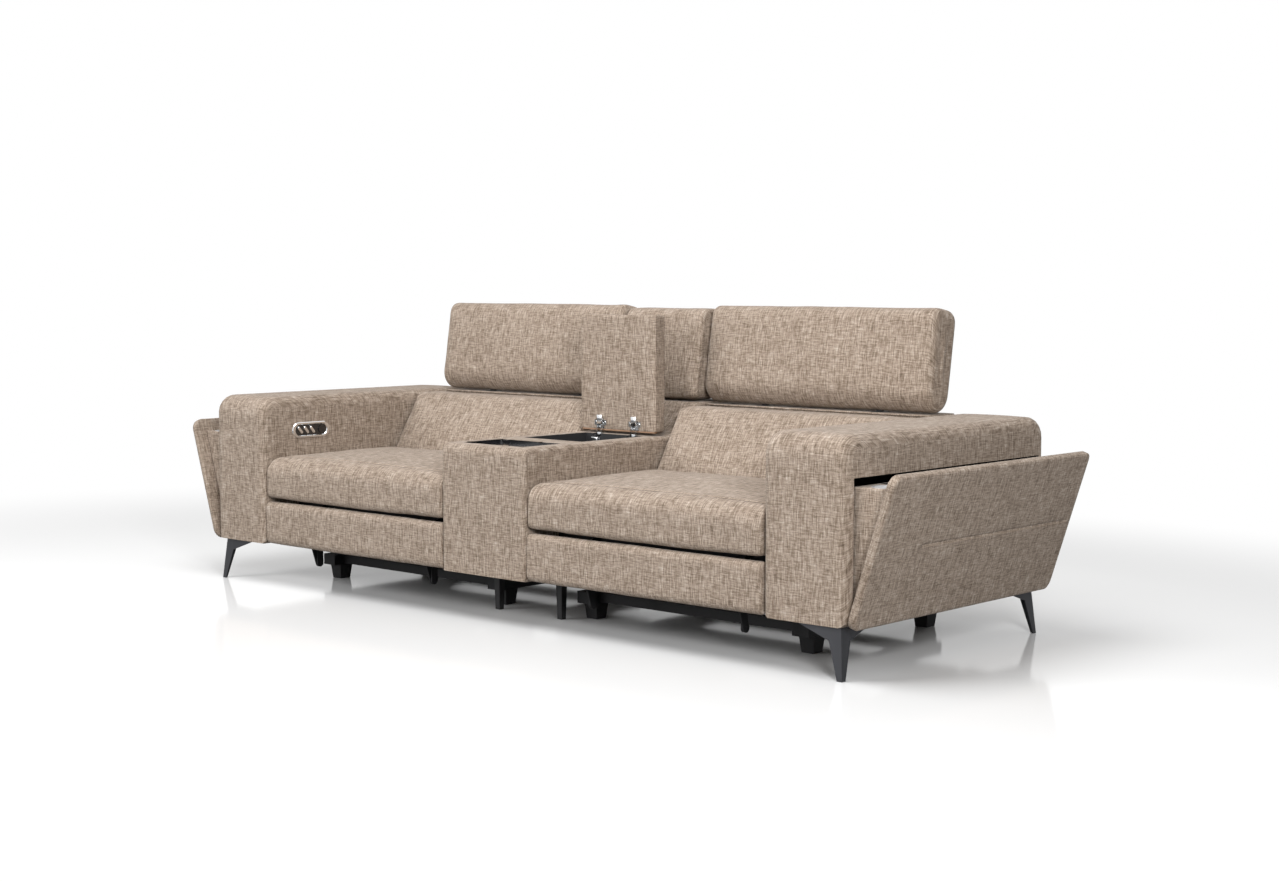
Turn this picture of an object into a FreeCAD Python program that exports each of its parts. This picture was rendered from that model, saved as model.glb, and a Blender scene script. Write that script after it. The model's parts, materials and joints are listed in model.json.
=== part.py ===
import FreeCAD, Part
import math
import os
import Sketcher
from FreeCAD import Placement, Rotation, Vector

# Two seat reclining sofa with a console. X runs across the seats, the front faces -Y and Z is up.
# The origin is on the floor under the middle of the whole sofa. All sizes are millimetres and degrees.

doc = FreeCAD.newDocument("RecliningSofa")
sheet = doc.addObject("Spreadsheet::Sheet", "Sizes")
X_AXIS = Vector(1, 0, 0)
Y_AXIS = Vector(0, 1, 0)
Z_AXIS = Vector(0, 0, 1)


class Size:
    # A number together with the spreadsheet formula that gives it
    def __init__(self, value, text):
        self.value = float(value)
        self.text = text

    def __add__(self, other):
        other = as_size(other)
        return Size(self.value + other.value, f"({self.text} + {other.text})")

    def __sub__(self, other):
        other = as_size(other)
        return Size(self.value - other.value, f"({self.text} - {other.text})")

    def __mul__(self, other):
        other = as_size(other)
        return Size(self.value * other.value, f"({self.text} * {other.text})")

    def __truediv__(self, other):
        other = as_size(other)
        return Size(self.value / other.value, f"({self.text} / {other.text})")

    def __neg__(self):
        return Size(-self.value, f"(0 - {self.text})")

    def __radd__(self, other):
        return as_size(other) + self

    def __rsub__(self, other):
        return as_size(other) - self

    def __rmul__(self, other):
        return as_size(other) * self


def as_size(number):
    return number if isinstance(number, Size) else Size(number, f"({number!r})")


def cosine(angle):
    return Size(math.cos(math.radians(angle.value)), f"cos({angle.text})")


def sine(angle):
    return Size(math.sin(math.radians(angle.value)), f"sin({angle.text})")


def root(number):
    return Size(math.sqrt(number.value), f"sqrt({number.text})")


def num(size):
    return as_size(size).value


sheet_row = 0


def driving(alias, value, meaning):
    # One row of the spreadsheet: what it is, its value and the alias that formulas use
    global sheet_row
    sheet_row += 1
    sheet.set(f"A{sheet_row}", meaning)
    sheet.set(f"B{sheet_row}", str(value))
    sheet.setAlias(f"B{sheet_row}", alias)
    return Size(value, f"Sizes.{alias}")


# Whole sofa
overall_width = driving("overall_width", 2800, "across the outer faces of the two arms")
overall_depth = driving("overall_depth", 1020, "front of the arms to their back")
ground_gap = driving("ground_gap", 143, "floor to the underside of the upholstery")
piece_gap = driving("piece_gap", 2, "gap between upholstered pieces that move past each other")
seat_fit = driving("seat_fit", 0.3, "clearance between a piece and what carries it")
half_width = overall_width / 2
front = -overall_depth / 2
rear = overall_depth / 2

# Arms
arm_width = driving("arm_width", 285, "width of an arm")
arm_height = driving("arm_height", 664, "floor to the top of an arm")
arm_beam = driving("arm_beam", 117, "height of the padded beam over the open side of an arm")
arm_post = driving("arm_post", 39, "depth of the front and rear posts of an arm")
arm_wall = driving("arm_wall", 30, "thickness of the inner wall of an arm")
arm_sill = driving("arm_sill", 18, "thickness of the bottom board of an arm")
arm_corner = driving("arm_corner", 62, "radius of an arm's upper front and rear corners")
arm_edge = driving("arm_edge", 34, "radius of the long padded edges of an arm")
liner_skin = driving("liner_skin", 3, "thickness of the black linings")
arm_inner = half_width - arm_width
beam_under = arm_height - arm_beam

# Side flap, hinged along its bottom edge
flap_open = driving("flap_open", 18, "angle of the side flap when it is open")
flap_height = driving("flap_height", 444, "height of a side flap")
flap_thick = driving("flap_thick", 24, "thickness of a side flap")
flap_corner = driving("flap_corner", 34, "radius of the corners of a side flap")
flap_edge = driving("flap_edge", 9, "padded edge radius of a side flap")
flap_end_gap = driving("flap_end_gap", 4, "how far a side flap stops short of the front and the back")
flap_shut_gap = driving("flap_shut_gap", 1.5, "gap between a shut flap and the arm")
knuckle_radius = driving("knuckle_radius", 5.5, "radius of the flap hinge barrels")
knuckle_up = driving("knuckle_up", 8, "flap hinge axis above the bottom of the arm")
hinge_pin = driving("hinge_pin", 2.5, "radius of the flap hinge pin")
hinge_leaf = driving("hinge_leaf", 1.5, "thickness of the flap hinge leaves")
bin_rise = driving("bin_rise", 390, "hinge axis to the top of the flap bin at the flap")
bin_foot = driving("bin_foot", 24, "hinge axis to the bottom of the flap bin")
bin_wall = driving("bin_wall", 12, "thickness of the flap bin walls")
bin_inset = driving("bin_inset", 12, "how far the bin's inner wall stays inside the arm when open")
bin_end_gap = driving("bin_end_gap", 4, "gap between the ends of a bin and the lining")
cup_reach = driving("cup_reach", 52, "front of the bin to the middle of the cup holder")
cup_block = driving("cup_block", 112, "length of the closed cup holder shelf of a bin")
cup_bore = driving("cup_bore", 36, "radius of the cup holder's inside")
cup_metal = driving("cup_metal", 1.5, "thickness of the cup holder metal")
cup_depth = driving("cup_depth", 50, "depth of the cup holder")
cup_side = driving("cup_side", 3, "bin wall left between the cup holder and the flap")
cup_rim = driving("cup_rim", 7, "width of the cup holder's rim")

# Console
console_width = driving("console_width", 380, "width of the console")
console_height = driving("console_height", 558, "floor to the top of the console")
console_edge = driving("console_edge", 22, "padded edge radius of the console")
shelf_height = driving("shelf_height", 664, "floor to the shelf behind the console lid")
sweep_end = driving("sweep_end", 806, "front to where the sweep reaches the shelf")
sweep_knee = driving("sweep_knee", 760, "front to the corner that the sweep rounds off")
sweep_radius = driving("sweep_radius", 168, "radius of the sweep")
centre_rear = driving("centre_rear", 1000, "front to the back of the console and centre back")
plate_front = driving("plate_front", 46, "front to the black top plate")
plate_length = driving("plate_length", 169, "length of the black top plate")
plate_half = driving("plate_half", 134.5, "half of the width of the black top plate")
plate_sink = driving("plate_sink", 2, "how far the black top plate lies below the console top")
plate_thick = driving("plate_thick", 12, "thickness of the black top plate")
tray_rim = driving("tray_rim", 16, "rim of the black top plate round its sunk tray")
tray_sink = driving("tray_sink", 7, "depth of the sunk tray in the black top plate")
strip_rise = driving("strip_rise", 4, "how far the raised strips stand above the top plate")
strip_inset = driving("strip_inset", 2, "how far the raised strips stay in from the plate's edge")
plate_corner = driving("plate_corner", 4, "corner radius of the black top plate")
tray_corner = driving("tray_corner", 8, "corner radius of the sunk tray")
bin_front = driving("bin_front", 316, "front to the console compartment")
bin_length = driving("bin_length", 288, "length of the console compartment")
bin_half = driving("bin_half", 129, "half of the width of the console compartment")
bin_depth = driving("bin_depth", 250, "depth of the console compartment")

# Console lid, modelled standing open
lid_face_back = driving("lid_face_back", 624, "front to the underside of the lid as it stands open")
lid_half = driving("lid_half", 170, "half of the width of the console lid")
lid_length = driving("lid_length", 386, "length of the console lid")
lid_thick = driving("lid_thick", 55, "thickness of the console lid")
lid_heel = driving("lid_heel", 13, "hinge axis to the hinged end of the lid")
lid_pin_gap = driving("lid_pin_gap", 4.5, "hinge axis to the underside of the lid")
lid_round = driving("lid_round", 14, "padded edge radius of the console lid")
lid_corner = driving("lid_corner", 10, "corner radius of the console lid")
hinge_place = driving("hinge_place", 78, "middle of the sofa to each lid hinge")
cup_radius = driving("cup_radius", 17.5, "radius of a lid hinge cup")
cup_sink = driving("cup_sink", 11.5, "depth of a lid hinge cup")
cup_rise = driving("cup_rise", 36, "lid hinge axis to the middle of its cup")
cup_flange = driving("cup_flange", 27, "half of the width of a lid hinge cup's flange")
cup_plate = driving("cup_plate", 1.5, "thickness of a lid hinge cup's flange and wall")
flange_half = driving("flange_half", 9, "half of the height of a lid hinge cup's flange")
lid_pin = driving("lid_pin", 2, "radius of the lid hinge pin")
lid_barrel = driving("lid_barrel", 4, "radius of the lid hinge barrel")
hinge_arm_half = driving("hinge_arm_half", 8, "half of the width of a lid hinge arm")
hinge_ear = driving("hinge_ear", 2, "thickness of a lid hinge ear")
hinge_play = driving("hinge_play", 1, "gap between a lid hinge ear and the hinge arm")
hinge_neck = driving("hinge_neck", 6.5, "thickness of a lid hinge arm's neck")
hinge_drop = driving("hinge_drop", 62, "console top to the lower end of a lid hinge arm")
hinge_foot = driving("hinge_foot", 12, "depth of a lid hinge arm in the compartment")
hinge_plate_half = driving("hinge_plate_half", 16, "half of the width of a lid hinge's wall plate")
hinge_plate = driving("hinge_plate", 4, "thickness of a lid hinge's wall plate")
hinge_plate_low = driving("hinge_plate_low", 58, "console top to the bottom of a hinge's wall plate")
hinge_plate_top = driving("hinge_plate_top", 14, "console top to the top of a hinge's wall plate")
notch_half = driving("notch_half", 18, "half of the width of the notch for a lid hinge")
notch_depth = driving("notch_depth", 10.5, "depth of the notch for a lid hinge")
notch_back = driving("notch_back", 26, "length of the notch for a lid hinge")
pin_play = driving("pin_play", 0.3, "clearance round every pin")

# Seats
seat_front_gap = driving("seat_front_gap", 0, "front of the arms to the front of the seats")
seat_base = driving("seat_base", 302, "floor to the underside of the seat cushion")
seat_edge = driving("seat_edge", 455, "floor to the seat top at its front edge")
seat_crown = driving("seat_crown", 24, "how far the seat's middle stands above its edge")
seat_round = driving("seat_round", 58, "radius of the seat's upper front edge")
seat_back_gap = driving("seat_back_gap", 6, "gap between the rear end of the seat top and the back cushion")
seat_rear_lift = driving("seat_rear_lift", 8, "rear end of the seat top above the seat's front edge")
seat_rear_face = driving("seat_rear_face", 78, "height of the upright rear face of the seat cushion")
seat_low_end = driving("seat_low_end", 540, "front to the rear end of the seat underside")
side_draw = driving("side_draw", 4, "how far the sides of the cushions are drawn in")
cushion_round = driving("cushion_round", 14, "radius of the lower edges of the seats and the pillow")
cushion_bow = driving("cushion_bow", 700, "radius of the upright cushions' bowed fronts")
seat_bow = driving("seat_bow", 1100, "radius of the seat cushion's bowed top")
seat_peak = driving("seat_peak", 0.52, "share of the seat depth where its top is highest")
seat_heel_round = driving("seat_heel_round", 30, "radius of the seat cushion's lower rear edge")
seat_rear_round = driving("seat_rear_round", 18, "radius of the seat cushion's upper rear edge")
seat_side = driving("seat_side", 12, "edge radius of the seat cushion's sides")
back_side = driving("back_side", 14, "edge radius of the back cushion's sides")
head_side = driving("head_side", 24, "edge radius of the headrest's sides")
pillow_side = driving("pillow_side", 16, "edge radius of the centre pillow's sides")
deck_front = driving("deck_front", 150, "front to the seat deck")
deck_thick = driving("deck_thick", 20, "thickness of the seat deck")
deck_rear = driving("deck_rear", 535, "front to the rear of the seat deck")
bracket_thick = driving("bracket_thick", 5, "thickness of the steel side brackets")
bracket_drop = driving("bracket_drop", 46, "deck top to the lower edge of the side brackets")
bracket_heel = driving("bracket_heel", 70, "how far the side brackets run on behind the deck")
ear_reach = driving("ear_reach", 60, "length of the linkage ears under the deck")
ear_drop = driving("ear_drop", 16, "depth of the linkage ears under the deck")
inner_side = console_width / 2
console_side = console_width / 2 - piece_gap / 2
seat_width = arm_inner - inner_side
seat_middle = inner_side + seat_width / 2

# Back, which turns about a pivot behind the seat
back_pivot_y = driving("back_pivot_y", 680, "front to the back's pivot")
back_pivot_z = driving("back_pivot_z", 350, "floor to the back's pivot")
back_pin = driving("back_pin", 8, "radius of the back's pivot pins")
back_boss = driving("back_boss", 22, "radius of the bracket round the back's pivot")
back_rear = driving("back_rear", 985, "front to the outside of the back")
back_top = driving("back_top", 657, "floor to the top of the back")
back_low = driving("back_low", 262, "floor to the bottom of the back's outside")
back_board = driving("back_board", 15, "thickness of the back frame's boards")
slat_thick = driving("slat_thick", 18, "thickness of the slat behind the back cushion")
slat_height = driving("slat_height", 42, "height of the slat behind the back cushion")
back_frame_in = driving("back_frame_in", 13, "how far the back frame stays in from each side")
back_heel = driving("back_heel", 80, "back's pivot to the lower edge of the back frame's side plates")
back_corner = driving("back_corner", 10, "radius of the back frame's upper rear edge")
back_rail = driving("back_rail", 30, "depth of the back frame's lower rail")
back_rail_gap = driving("back_rail_gap", 8, "back's pivot to the lower rail")
back_rail_height = driving("back_rail_height", 50, "height of the back frame's lower rail")
pad_foot_y = driving("pad_foot_y", 574, "front to the bottom corner of the back cushion")
pad_foot_z = driving("pad_foot_z", 424, "floor to the bottom corner of the back cushion")
pad_top_y = driving("pad_top_y", 706, "front to the upper front edge of the back cushion")
pad_swell = driving("pad_swell", 12, "swell of the back cushion's front")
pad_round = driving("pad_round", 34, "radius of the back cushion's upper front edge")
pad_foot_round = driving("pad_foot_round", 22, "radius of the back cushion's foot")
pad_rear_round = driving("pad_rear_round", 12, "radius of the rear edges of the back and the pillow")
pad_rear_top = driving("pad_rear_top", 850, "front to the top rear corner of the back cushion")
pad_rear_low_y = driving("pad_rear_low_y", 702, "front to the bottom rear corner of the back cushion")
pad_rear_low_z = driving("pad_rear_low_z", 400, "floor to the bottom rear corner of the back cushion")
skirt_top = driving("skirt_top", 248, "floor to the top of the fixed board below the back")
skirt_thick = driving("skirt_thick", 20, "thickness of the fixed board below the back")
skirt_rear = driving("skirt_rear", 998, "front to the outside of the fixed board below the back")

# Headrests
head_pivot_y = driving("head_pivot_y", 890, "front to the headrest's pivot")
head_pivot_z = driving("head_pivot_z", 729, "floor to the headrest's pivot")
head_radius = driving("head_radius", 66, "half of the thickness of a headrest, and its bottom radius")
head_lean = driving("head_lean", 9.2, "lean of the headrests")
head_rise = driving("head_rise", 258, "headrest pivot to its top, along the lean")
head_round = driving("head_round", 40, "radius of the headrest's top edges")
head_swell = driving("head_swell", 8, "swell of the headrests' front")
head_peak = driving("head_peak", 0.42, "share of the headrest's rise where its front swells most")
pillow_round = driving("pillow_round", 34, "radius of the centre back pillow's top edges")
pillow_front = driving("pillow_front", 808, "front to the foot of the centre back pillow")
pillow_top = driving("pillow_top", 978, "floor to the top of the centre back pillow")
head_pin = driving("head_pin", 5, "radius of the headrest pins")
head_arm = driving("head_arm", 14, "radius of the headrest arm's eye")
head_arm_half = driving("head_arm_half", 10, "half of the width of a headrest arm")
head_arm_place = driving("head_arm_place", 230, "middle of a seat to each headrest arm")
slot_side = driving("slot_side", 4, "gap beside a headrest arm in its slot")
slot_front = driving("slot_front", 24, "headrest pivot to the front wall of a headrest arm's slot")
head_pin_hold = driving("head_pin_hold", 12, "length of a headrest pin in the headrest at each side")
head_neck = driving("head_neck", 14, "depth of a headrest arm's neck")
head_foot = driving("head_foot", 52, "length of a headrest arm's foot plate")
head_foot_side = driving("head_foot_side", 8, "how far a headrest arm's foot plate stands out")
head_foot_thick = driving("head_foot_thick", 4, "thickness of a headrest arm's foot plate")

# Footrest
panel_thick = driving("panel_thick", 45, "thickness of a footrest panel")
panel_low = driving("panel_low", 147, "floor to the bottom of a footrest panel")
panel_top = driving("panel_top", 299, "floor to the top of a footrest panel")
panel_round = driving("panel_round", 16, "edge radius of a footrest panel")
link_root_y = driving("link_root_y", 120, "front to the footrest linkage's fixed pivot")
link_root_z = driving("link_root_z", 268, "floor to the footrest linkage's fixed pivot")
link_reach = driving("link_reach", 186, "length of the footrest's lower link")
panel_pivot_y = driving("panel_pivot_y", 66, "front to the footrest panel's hinge")
panel_pivot_z = driving("panel_pivot_z", 252, "floor to the footrest panel's hinge")
link_half = driving("link_half", 13, "half of the width of the footrest links")
link_thick = driving("link_thick", 5, "thickness of the footrest links")
link_play = driving("link_play", 1, "gap between links side by side")
link_pin = driving("link_pin", 5, "radius of the linkage pins")
link_place = driving("link_place", 300, "middle of a seat to each link pair")
link_tube = driving("link_tube", 9, "radius of the tubes that join the link pairs")
clip_drop = driving("clip_drop", 40, "panel hinge to the lower end of its bracket")
clip_rise = driving("clip_rise", 20, "panel hinge to the upper end of its bracket")
clip_pad = driving("clip_pad", 36, "width of the plate that holds a bracket on its panel")
clip_pad_side = driving("clip_pad_side", 14, "how far that plate stands out to the inner side")
clip_pad_low = driving("clip_pad_low", 44, "panel hinge to the lower end of that plate")
clip_pad_height = driving("clip_pad_height", 28, "height of that plate")
clip_pad_thick = driving("clip_pad_thick", 3, "thickness of that plate")

# Mechanism frame and feet
rail_place_in = driving("rail_place_in", 207, "middle of the sofa to the inner mechanism rail")
rail_place_out = driving("rail_place_out", 1066, "middle of the sofa to the outer mechanism rail")
rail_width = driving("rail_width", 60, "width of the mechanism rails")
rail_height = driving("rail_height", 38, "height of the mechanism rails")
rail_front = driving("rail_front", 245, "front to the mechanism rails")
rail_rear = driving("rail_rear", 930, "front to the rear end of the mechanism rails")
tie_size = driving("tie_size", 30, "side of the square tubes across the mechanism")
foot_height = driving("foot_height", 52, "height of the mechanism feet")
foot_top = driving("foot_top", 55, "width of a mechanism foot at its top")
foot_low = driving("foot_low", 43, "width of a mechanism foot at the floor")
foot_front = driving("foot_front", 301, "front to the front mechanism feet")
foot_rear = driving("foot_rear", 881, "front to the rear mechanism feet")
tie_middle = driving("tie_middle", 620, "front to the middle tie that carries the actuator")
upright_thick = driving("upright_thick", 8, "thickness of the mechanism's uprights")
upright_front = driving("upright_front", 360, "front to the mechanism's uprights")
upright_length = driving("upright_length", 90, "length of the mechanism's uprights")
tie_lift = driving("tie_lift", 4, "how far ties and uprights start above the rails' underside")
motor_seat = driving("motor_seat", 2, "how far an actuator's motor is let into its tie")

# Corner legs and console legs
leg_side = driving("leg_side", 15, "side of the arm to the foot of a corner leg")
leg_front = driving("leg_front", 12, "front of the arm to the foot of a corner leg")
leg_splay = driving("leg_splay", 13, "how far a corner leg's top stands in from its foot")
leg_plate = driving("leg_plate", 4, "thickness of the corner leg's folded plate")
leg_tip = driving("leg_tip", 17, "width of a corner leg at the floor")
leg_knee = driving("leg_knee", 42, "width of a corner leg at the knee")
leg_knee_drop = driving("leg_knee_drop", 38, "height of a corner leg's wings")
leg_wing = driving("leg_wing", 150, "length of a corner leg's wings")
leg_flange = driving("leg_flange", 90, "side of a corner leg's square top plate")
post_place = driving("post_place", 142, "middle of the sofa to each console leg")
post_back = driving("post_back", 209, "front to the console legs")
post_top = driving("post_top", 27, "width of a console leg at its top")
post_low = driving("post_low", 19, "width of a console leg at the floor")

# Switch panel on the inner face of an arm
switch_back = driving("switch_back", 208, "front to the middle of the switch panel")
switch_up = driving("switch_up", 540, "floor to the middle of the switch panel")
switch_length = driving("switch_length", 168, "length of the switch panel")
switch_height = driving("switch_height", 56, "height of the switch panel")
bezel_width = driving("bezel_width", 9.5, "width of the metal frame above and below the black plate")
bezel_ends = driving("bezel_ends", 15, "width of the metal frame at its ends")
bezel_thick = driving("bezel_thick", 4, "how far the metal frame stands out")
switch_sink = driving("switch_sink", 12, "depth of the switch panel's pocket")
rocker_length = driving("rocker_length", 30, "length of a rocker")
rocker_width = driving("rocker_width", 11, "width of a rocker")
rocker_slant = driving("rocker_slant", 40, "slant of the rockers from upright")
rocker_pitch = driving("rocker_pitch", 27, "spacing of the rockers")
rocker_first = driving("rocker_first", 49, "middle of the panel to the front rocker")
rocker_rise = driving("rocker_rise", 3, "how far a rocker stands out")
knob_place = driving("knob_place", 46, "middle of the panel to the round button")
knob_radius = driving("knob_radius", 14, "radius of the round button")
knob_rise = driving("knob_rise", 3, "how far the round button stands out")
knob_travel = driving("knob_travel", 1.2, "travel of the round button")
stem_radius = driving("stem_radius", 3, "radius of the round button's stem")
ridge_radius = driving("ridge_radius", 2, "radius of the ridge that a rocker tips on")
rocker_edge = driving("rocker_edge", 1.5, "bevel round a rocker's top")
pocket_depth = driving("pocket_depth", 7, "depth of the buttons' pockets in the black plate")
plate_proud = driving("plate_proud", 2, "how far the black plate stands out of the arm")
button_gap = driving("button_gap", 0.6, "gap round the buttons")

# Actuators
motor_radius = driving("motor_radius", 22, "radius of an actuator's motor")
motor_length = driving("motor_length", 110, "length of an actuator's motor")
screw_radius = driving("screw_radius", 11, "radius of an actuator's spindle tube")
screw_length = driving("screw_length", 300, "length of an actuator's spindle tube")

doc.recompute()


def bind(thing, prop, size):
    thing.setExpression(prop, as_size(size).text)


def back_from_front(distance):
    return front + distance


def across(side, inner, outer):
    # The low and high X of something between two distances from the sofa's middle
    return (inner, outer) if side > 0 else (-outer, -inner)


def block(name, xs, ys, zs):
    box = doc.addObject("Part::Box", name)
    for prop, base, (low, high) in (("Length", "x", xs), ("Width", "y", ys), ("Height", "z", zs)):
        bind(box, prop, high - low)
        bind(box, f"Placement.Base.{base}", low)
    return box


def rod(name, axis, low, high, first, second, radius):
    # A cylinder along X or Y or Z from low to high; first and second are its two other coordinates
    cylinder = doc.addObject("Part::Cylinder", name)
    bind(cylinder, "Radius", radius)
    bind(cylinder, "Height", high - low)
    if axis == "x":
        cylinder.Placement = Placement(Vector(), Rotation(Z_AXIS, X_AXIS))
        places = (low, first, second)
    elif axis == "y":
        cylinder.Placement = Placement(Vector(), Rotation(Z_AXIS, Y_AXIS))
        places = (first, low, second)
    else:
        places = (first, second, low)
    for base, size in zip("xyz", places):
        bind(cylinder, f"Placement.Base.{base}", size)
    return cylinder


def cut(name, base, *tools):
    result = doc.addObject("Part::Cut", name)
    result.Base = base
    result.Tool = tools[0] if len(tools) == 1 else join(name + "_tools", *tools)
    return result


def join(name, *pieces):
    result = doc.addObject("Part::MultiFuse", name)
    result.Shapes = list(pieces)
    return result


def group(name, *pieces):
    result = doc.addObject("Part::Compound", name)
    result.Links = list(pieces)
    return result


def sketch_corners(sketch, corners):
    # A closed outline of straight sides; a corner is (u, v), or (u, v, radius) where it is rounded
    count = len(corners)
    points = [Vector(num(c[0]), num(c[1]), 0) for c in corners]
    enters, leaves, arcs = [], [], []
    for i, corner in enumerate(corners):
        here, before, after = points[i], points[i - 1], points[(i + 1) % count]
        if len(corner) == 2:
            enters.append(here)
            leaves.append(here)
            arcs.append(None)
            continue
        radius = num(corner[2])
        inward = (before - here).normalize()
        outward = (after - here).normalize()
        half = inward.getAngle(outward) / 2
        enters.append(here + inward * (radius / math.tan(half)))
        leaves.append(here + outward * (radius / math.tan(half)))
        centre = here + (inward + outward).normalize() * (radius / math.sin(half))
        arcs.append((centre, radius))
    for i in range(count):
        sketch.addGeometry(Part.LineSegment(leaves[i], enters[(i + 1) % count]))
    for i, corner in enumerate(corners):
        last = (i - 1) % count
        if arcs[i] is None:
            sketch.addConstraint(Sketcher.Constraint("Coincident", last, 2, i, 1))
            place_point(sketch, i, 1, corner)
            continue
        centre, radius = arcs[i]
        circle = Part.Circle(centre, Z_AXIS, radius)
        start, end = circle.parameter(enters[i]), circle.parameter(leaves[i])
        left_turn = (points[i] - points[last]).cross(points[(i + 1) % count] - points[i]).z > 0
        if left_turn:
            arc = sketch.addGeometry(Part.ArcOfCircle(circle, start, end))
            ends = (1, 2)
        else:
            arc = sketch.addGeometry(Part.ArcOfCircle(circle, end, start))
            ends = (2, 1)
        sketch.addConstraint(Sketcher.Constraint("Tangent", last, 2, arc, ends[0]))
        sketch.addConstraint(Sketcher.Constraint("Tangent", arc, ends[1], i, 1))
        rounding = sketch.addConstraint(Sketcher.Constraint("Radius", arc, radius))
        bind(sketch, f"Constraints[{rounding}]", corner[2])
        peak = sketch.addGeometry(Part.Point(points[i]), True)
        sketch.addConstraint(Sketcher.Constraint("PointOnObject", peak, 1, last))
        sketch.addConstraint(Sketcher.Constraint("PointOnObject", peak, 1, i))
        place_point(sketch, peak, 1, corner)


def place_point(sketch, geometry, end, corner):
    # Holds a point of a sketch at its two distances from the origin
    for kind, size in (("DistanceX", corner[0]), ("DistanceY", corner[1])):
        index = sketch.addConstraint(Sketcher.Constraint(kind, -1, 1, geometry, end, num(size)))
        bind(sketch, f"Constraints[{index}]", size)


def sketch_on(body, role, level, name):
    # A sketch on one of the body's own origin planes, moved along that plane's normal
    sketch = body.newObject("Sketcher::SketchObject", name)
    plane = [feature for feature in body.Origin.OriginFeatures if feature.Role == role][0]
    sketch.AttachmentSupport = [(plane, "")]
    sketch.MapMode = "FlatFace"
    bind(sketch, "AttachmentOffset.Base.z", level)
    return sketch


def extrude(body, kind, role, low, high, draw, name):
    # A pad or a pocket between two levels along the normal of a plane
    level = -as_size(high) if role == "XZ_Plane" else low
    sketch = sketch_on(body, role, level, name + "_sketch")
    draw(sketch)
    feature = body.newObject("PartDesign::" + kind, name)
    feature.Profile = sketch
    bind(feature, "Length", high - low)
    feature.Reversed = kind == "Pocket"
    body.Tip = feature
    doc.recompute()
    return feature


def outline(*corners):
    return lambda sketch: sketch_corners(sketch, corners)


def circles(*rounds):
    # Full circles, each (u, v, radius)
    def draw(sketch):
        for u, v, radius in rounds:
            index = sketch.addGeometry(Part.Circle(Vector(num(u), num(v), 0), Z_AXIS, num(radius)))
            rounding = sketch.addConstraint(Sketcher.Constraint("Radius", index, num(radius)))
            bind(sketch, f"Constraints[{rounding}]", radius)
            place_point(sketch, index, 3, (u, v))
    return draw


def rectangle(us, vs, *radius):
    return outline((us[0], vs[0], *radius), (us[1], vs[0], *radius),
                   (us[1], vs[1], *radius), (us[0], vs[1], *radius))


def new_body(name):
    return doc.addObject("PartDesign::Body", name)


def round_edges(body, name, radius, wanted, kind="Fillet"):
    # Rounds or bevels those edges of the body for which wanted(edge) is true
    base = body.Tip
    names = [f"Edge{i + 1}" for i, edge in enumerate(base.Shape.Edges) if wanted(edge)]
    dressing = body.newObject("PartDesign::" + kind, name)
    dressing.Base = (base, names)
    bind(dressing, "Radius" if kind == "Fillet" else "Size", radius)
    body.Tip = dressing
    doc.recompute()


def lies_at(axis, *levels):
    # True for an edge that lies whole in one of the planes across an axis
    def test(edge):
        box = edge.BoundBox
        low, high = getattr(box, axis.upper() + "Min"), getattr(box, axis.upper() + "Max")
        return any(abs(low - num(level)) < 0.01 and abs(high - num(level)) < 0.01 for level in levels)
    return test


def ring(corners, place):
    # A closed wire of straight sides and round corners; place turns (u, v) into a point
    count = len(corners)
    points = [Vector(num(u), num(v), 0) for u, v, radius in corners]
    spots = []
    for i, (u, v, radius) in enumerate(corners):
        inward = (points[i - 1] - points[i]).normalize()
        outward = (points[(i + 1) % count] - points[i]).normalize()
        half = inward.getAngle(outward) / 2
        reach = num(radius) / math.tan(half)
        middle = (inward + outward).normalize() * (num(radius) / math.sin(half) - num(radius))
        spots.append((points[i] + inward * reach, points[i] + middle, points[i] + outward * reach))
    edges = []
    for i, (enter, middle, leave) in enumerate(spots):
        after = spots[(i + 1) % count][0]
        edges.append(Part.Arc(place(enter), place(middle), place(leave)).toShape())
        edges.append(Part.LineSegment(place(leave), place(after)).toShape())
    return Part.Wire(edges)


def plain(name, shape):
    form = doc.addObject("Part::Feature", name)
    form.Shape = shape
    return form


nodes = {}


def node(name, thing):
    thing.Label = name
    nodes[name] = thing


SIDES = (("left", -1), ("right", 1))


def side_name(side):
    return "left" if side < 0 else "right"


# The upholstered arm: a front and a rear post, a padded beam over them, an inner wall and a sill
def make_arm(side):
    body = new_body(side_name(side) + "_arm_body")
    xs = across(side, arm_inner, half_width)
    extrude(body, "Pad", "YZ_Plane", xs[0], xs[1], outline(
        (front, ground_gap), (rear, ground_gap),
        (rear, arm_height, arm_corner), (front, arm_height, arm_corner)), "ArmSide")

    def long_edges(edge):
        long_edge = lies_at("x", *xs)(edge)
        return long_edge and not lies_at("z", ground_gap)(edge)
    round_edges(body, "ArmEdges", arm_edge, long_edges)
    hollow = across(side, arm_inner + arm_wall, half_width + 1)
    extrude(body, "Pocket", "YZ_Plane", hollow[0], hollow[1], rectangle(
        (front + arm_post, rear - arm_post), (ground_gap + arm_sill, beam_under)), "ArmHollow")
    mouth = across(side, -switch_sink + arm_inner, arm_inner + switch_sink)
    extrude(body, "Pocket", "YZ_Plane", mouth[0], mouth[1], pill(
            switch_length - 2 * bezel_ends, switch_height - 2 * bezel_width), "SwitchMouth")
    node(side_name(side) + "_arm", body)


def pill(length, height, middle=None):
    # A slot with round ends on the switch panel's middle
    y0, z0 = middle or (back_from_front(switch_back), switch_up)
    radius = height * 0.499
    return rectangle((y0 - length / 2, y0 + length / 2), (z0 - height / 2, z0 + height / 2), radius)


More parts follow.
